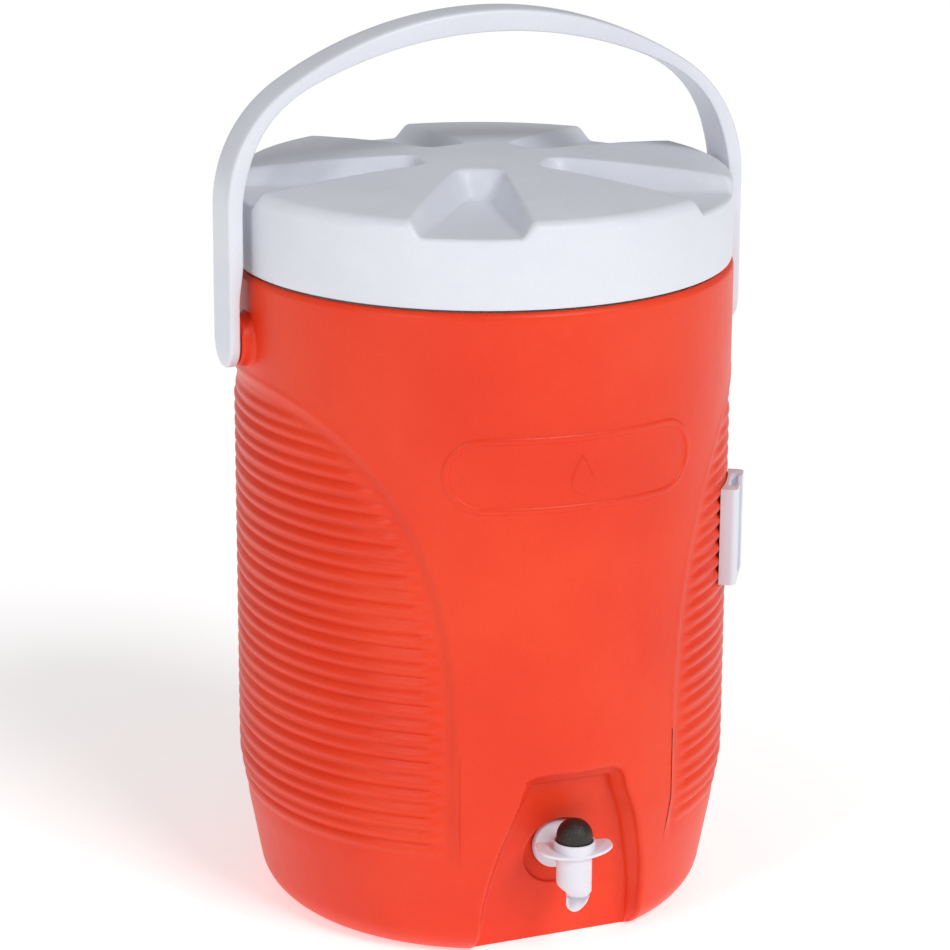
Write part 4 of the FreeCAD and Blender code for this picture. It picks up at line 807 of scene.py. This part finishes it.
def wing_spot(column, row):
    """The plate: a long rounded outline, thin, with both ends curled up."""
    angle = column * math.tau / 120
    size = (np.abs(np.cos(angle)) ** PLATE_SHAPE + np.abs(np.sin(angle)) ** PLATE_SHAPE) ** (-1 / PLATE_SHAPE)
    x = WING_LONG * size * np.cos(angle) * plate_share[row]
    y = WING_WIDE * size * np.sin(angle) * plate_share[row]
    y = y * (1 - (0.18 + 0.12 * np.sign(x)) * (np.abs(x) / WING_LONG) ** 1.5)
    z = PLATE_HEIGHT + WING_CURL - np.sqrt(WING_CURL ** 2 - x * x) + plate_rise[row]
    return (x * math.cos(WING_TURN) - y * math.sin(WING_TURN),
            BARREL_Y + x * math.sin(WING_TURN) + y * math.cos(WING_TURN), z)


plate = joined("wing_plate", moulded("wing_plate", 120, len(plate_share) - 1, wing_spot))
bpy.ops.object.select_all(action="DESELECT")
plate.select_set(True)
collar.select_set(True)
bpy.context.view_layer.objects.active = plate
bpy.ops.object.join()
bpy.ops.object.shade_smooth_by_angle(angle=math.radians(45))
plate.name = plate.data.name = "bonnet_wings"
dress(plate, spigot_white, "jug", ["spigot_bonnet"])

BUTTON, DOME_HEIGHT = 10.2, 74.3
dome_bend = np.radians(np.linspace(0, 90, 18))
dome = [(BUTTON * math.cos(bend), DOME_HEIGHT + BUTTON * math.sin(bend)) for bend in dome_bend[:-1]]
button_skirt = [(0, 76), (8.4, 76), (8.4, 69.5), (10.0, 69.5), (BUTTON, 69.9), (BUTTON, 72)]
button_profile = button_skirt + dome + [(0, DOME_HEIGHT + BUTTON)]
button = turned("button_dome", button_profile, (0, BARREL_Y, 0), (0, 0, 1), 96)
soft_black, place, shader = start_material("black_soft_plastic")
pips = place.node("ShaderNodeTexVoronoi", {"feature": "SMOOTH_F1"},
                  {"Vector": place, "Scale": 1100.0, "Smoothness": 0.5})
film = place.node("ShaderNodeTexNoise", None, {"Vector": place, "Scale": 110.0, "Detail": 5.0})
black_stops = [(0.25, (0.007, 0.006, 0.005, 1)), (0.8, (0.026, 0.022, 0.018, 1))]
black_colour = place.node("ShaderNodeValToRGB", {"stops": black_stops}, {"Fac": film * 0.7 + pips * 0.3})
black_bump = place.node("ShaderNodeBump", None, {"Height": pips, "Strength": 0.9, "Distance": 0.00035})
feed(place, shader, Base_Color=black_colour, Roughness=film.between(0.3, 0.7, 0.36, 0.5), Normal=black_bump)
dress(button, soft_black, "button", ["push_button"])
dress(nodes["valve_stem"], spigot_white)

steel, place, shader = start_material("drawn_steel")
drawn = place.node("ShaderNodeMapping", None, {"Vector": place, "Scale": (900, 900, 4000)})
streaks = place.node("ShaderNodeTexNoise", None, {"Vector": drawn, "Scale": 1.0, "Detail": 4.0})
stain = place.node("ShaderNodeTexNoise", None, {"Vector": place, "Scale": 160.0, "Detail": 4.0})
steel_stops = [(0.3, (0.42, 0.42, 0.43, 1)), (0.7, (0.64, 0.64, 0.65, 1))]
steel_colour = place.node("ShaderNodeValToRGB", {"stops": steel_stops}, {"Fac": stain})
steel_bump = place.node("ShaderNodeBump", None, {"Height": streaks, "Strength": 0.3, "Distance": 0.00005})
feed(place, shader, Base_Color=steel_colour, Roughness=streaks * 0.2 + 0.2, Metallic=1.0, Normal=steel_bump)
dress(nodes["return_spring"], steel)
dress(nodes["rail_screws"], steel)

# ---------------------------------------------------------------- side rail
# A white polypropylene rail block is screwed to the side, for a cup dispenser to slide on to.
# The block is copied from its plain form, its flat faces cleaned and its edges rounded.
rail = nodes["side_rail"].copy()
rail.data = nodes["side_rail"].data.copy()
bpy.context.scene.collection.objects.link(rail)
rail.parent = None
rail = joined("rail_block", rail)
bpy.ops.object.mode_set(mode="EDIT")
bpy.ops.mesh.dissolve_limited(angle_limit=math.radians(0.5))
bpy.ops.object.mode_set(mode="OBJECT")
soften = rail.modifiers.new("soften", "BEVEL")
soften.width = 0.7 * MM
soften.segments = 3
soften.limit_method = "ANGLE"
soften.angle_limit = math.radians(50)
bpy.ops.object.modifier_apply(modifier="soften")
bpy.ops.object.shade_smooth_by_angle(angle=math.radians(35))
dress(rail, white, "jug", ["side_rail"])

# ---------------------------------------------------------------- studio
# A plain pale floor that glows a little, a soft sun from the front and one wide light on either
# side of it.
bpy.ops.object.select_all(action="DESELECT")
bpy.ops.mesh.primitive_plane_add(size=14, location=(0, 0, 0))
floor = bpy.context.object
floor.name = "studio_floor"
floor_paint, place, shader = start_material("studio_floor_paint")
paper = place.node("ShaderNodeTexNoise", None, {"Vector": place, "Scale": 3.0, "Detail": 2.0})
paper_stops = [(0.0, (0.9, 0.9, 0.9, 1)), (1.0, (0.94, 0.94, 0.94, 1))]
paper_colour = place.node("ShaderNodeValToRGB", {"stops": paper_stops}, {"Fac": paper})
feed(place, shader, Base_Color=paper_colour, Roughness=0.9, Emission_Strength=0.45)
shader.inputs["Emission Color"].default_value = (1, 1, 1, 1)
dress(floor, floor_paint)

world = bpy.data.worlds.new("studio_air")
bpy.context.scene.world = world
world.use_nodes = True
world.node_tree.nodes["Background"].inputs["Color"].default_value = (1.0, 1.0, 1.0, 1)
world.node_tree.nodes["Background"].inputs["Strength"].default_value = 0.32
bpy.context.scene.view_settings.view_transform = "Standard"


def add_light(name, kind, place, aim, power, **settings):
    """A light at a place that faces a point."""
    lamp = bpy.data.lights.new(name, kind)
    lamp.energy = power
    for setting, value in settings.items():
        setattr(lamp, setting, value)
    stand = bpy.data.objects.new(name, lamp)
    bpy.context.scene.collection.objects.link(stand)
    stand.location = place
    stand.rotation_euler = (Vector(aim) - Vector(place)).to_track_quat("-Z", "Y").to_euler()


add_light("window_light", "SUN", (0.9, -2.6, 2.7), (0, 0, 0.2), 1.4, angle=math.radians(24))
add_light("key_light", "AREA", (-1.7, -1.1, 1.1), (0, 0, 0.25), 9, shape="RECTANGLE", size=0.3, size_y=1.0)
add_light("fill_light", "AREA", (1.5, -1.7, 0.7), (0, 0, 0.25), 3, shape="RECTANGLE", size=0.6, size_y=1.3)

lens = bpy.data.cameras.new("camera")
camera = bpy.data.objects.new("camera", lens)
bpy.context.scene.collection.objects.link(camera)
bpy.context.scene.camera = camera
lens.lens, lens.sensor_width, lens.shift_x = 129.9, 36.0, -0.0068
lens.clip_start, lens.clip_end = 0.05, 30.0
camera.location = (-0.7248, -1.7498, 0.8227)  # metres
azimuth, pitch, roll = math.radians(-22.5), math.radians(-16.96), math.radians(0.29)
ahead = Vector((-math.sin(azimuth) * math.cos(pitch), math.cos(azimuth) * math.cos(pitch), math.sin(pitch)))
camera.rotation_mode = "QUATERNION"
camera.rotation_quaternion = Quaternion(ahead, -roll) @ ahead.to_track_quat("-Z", "Y")
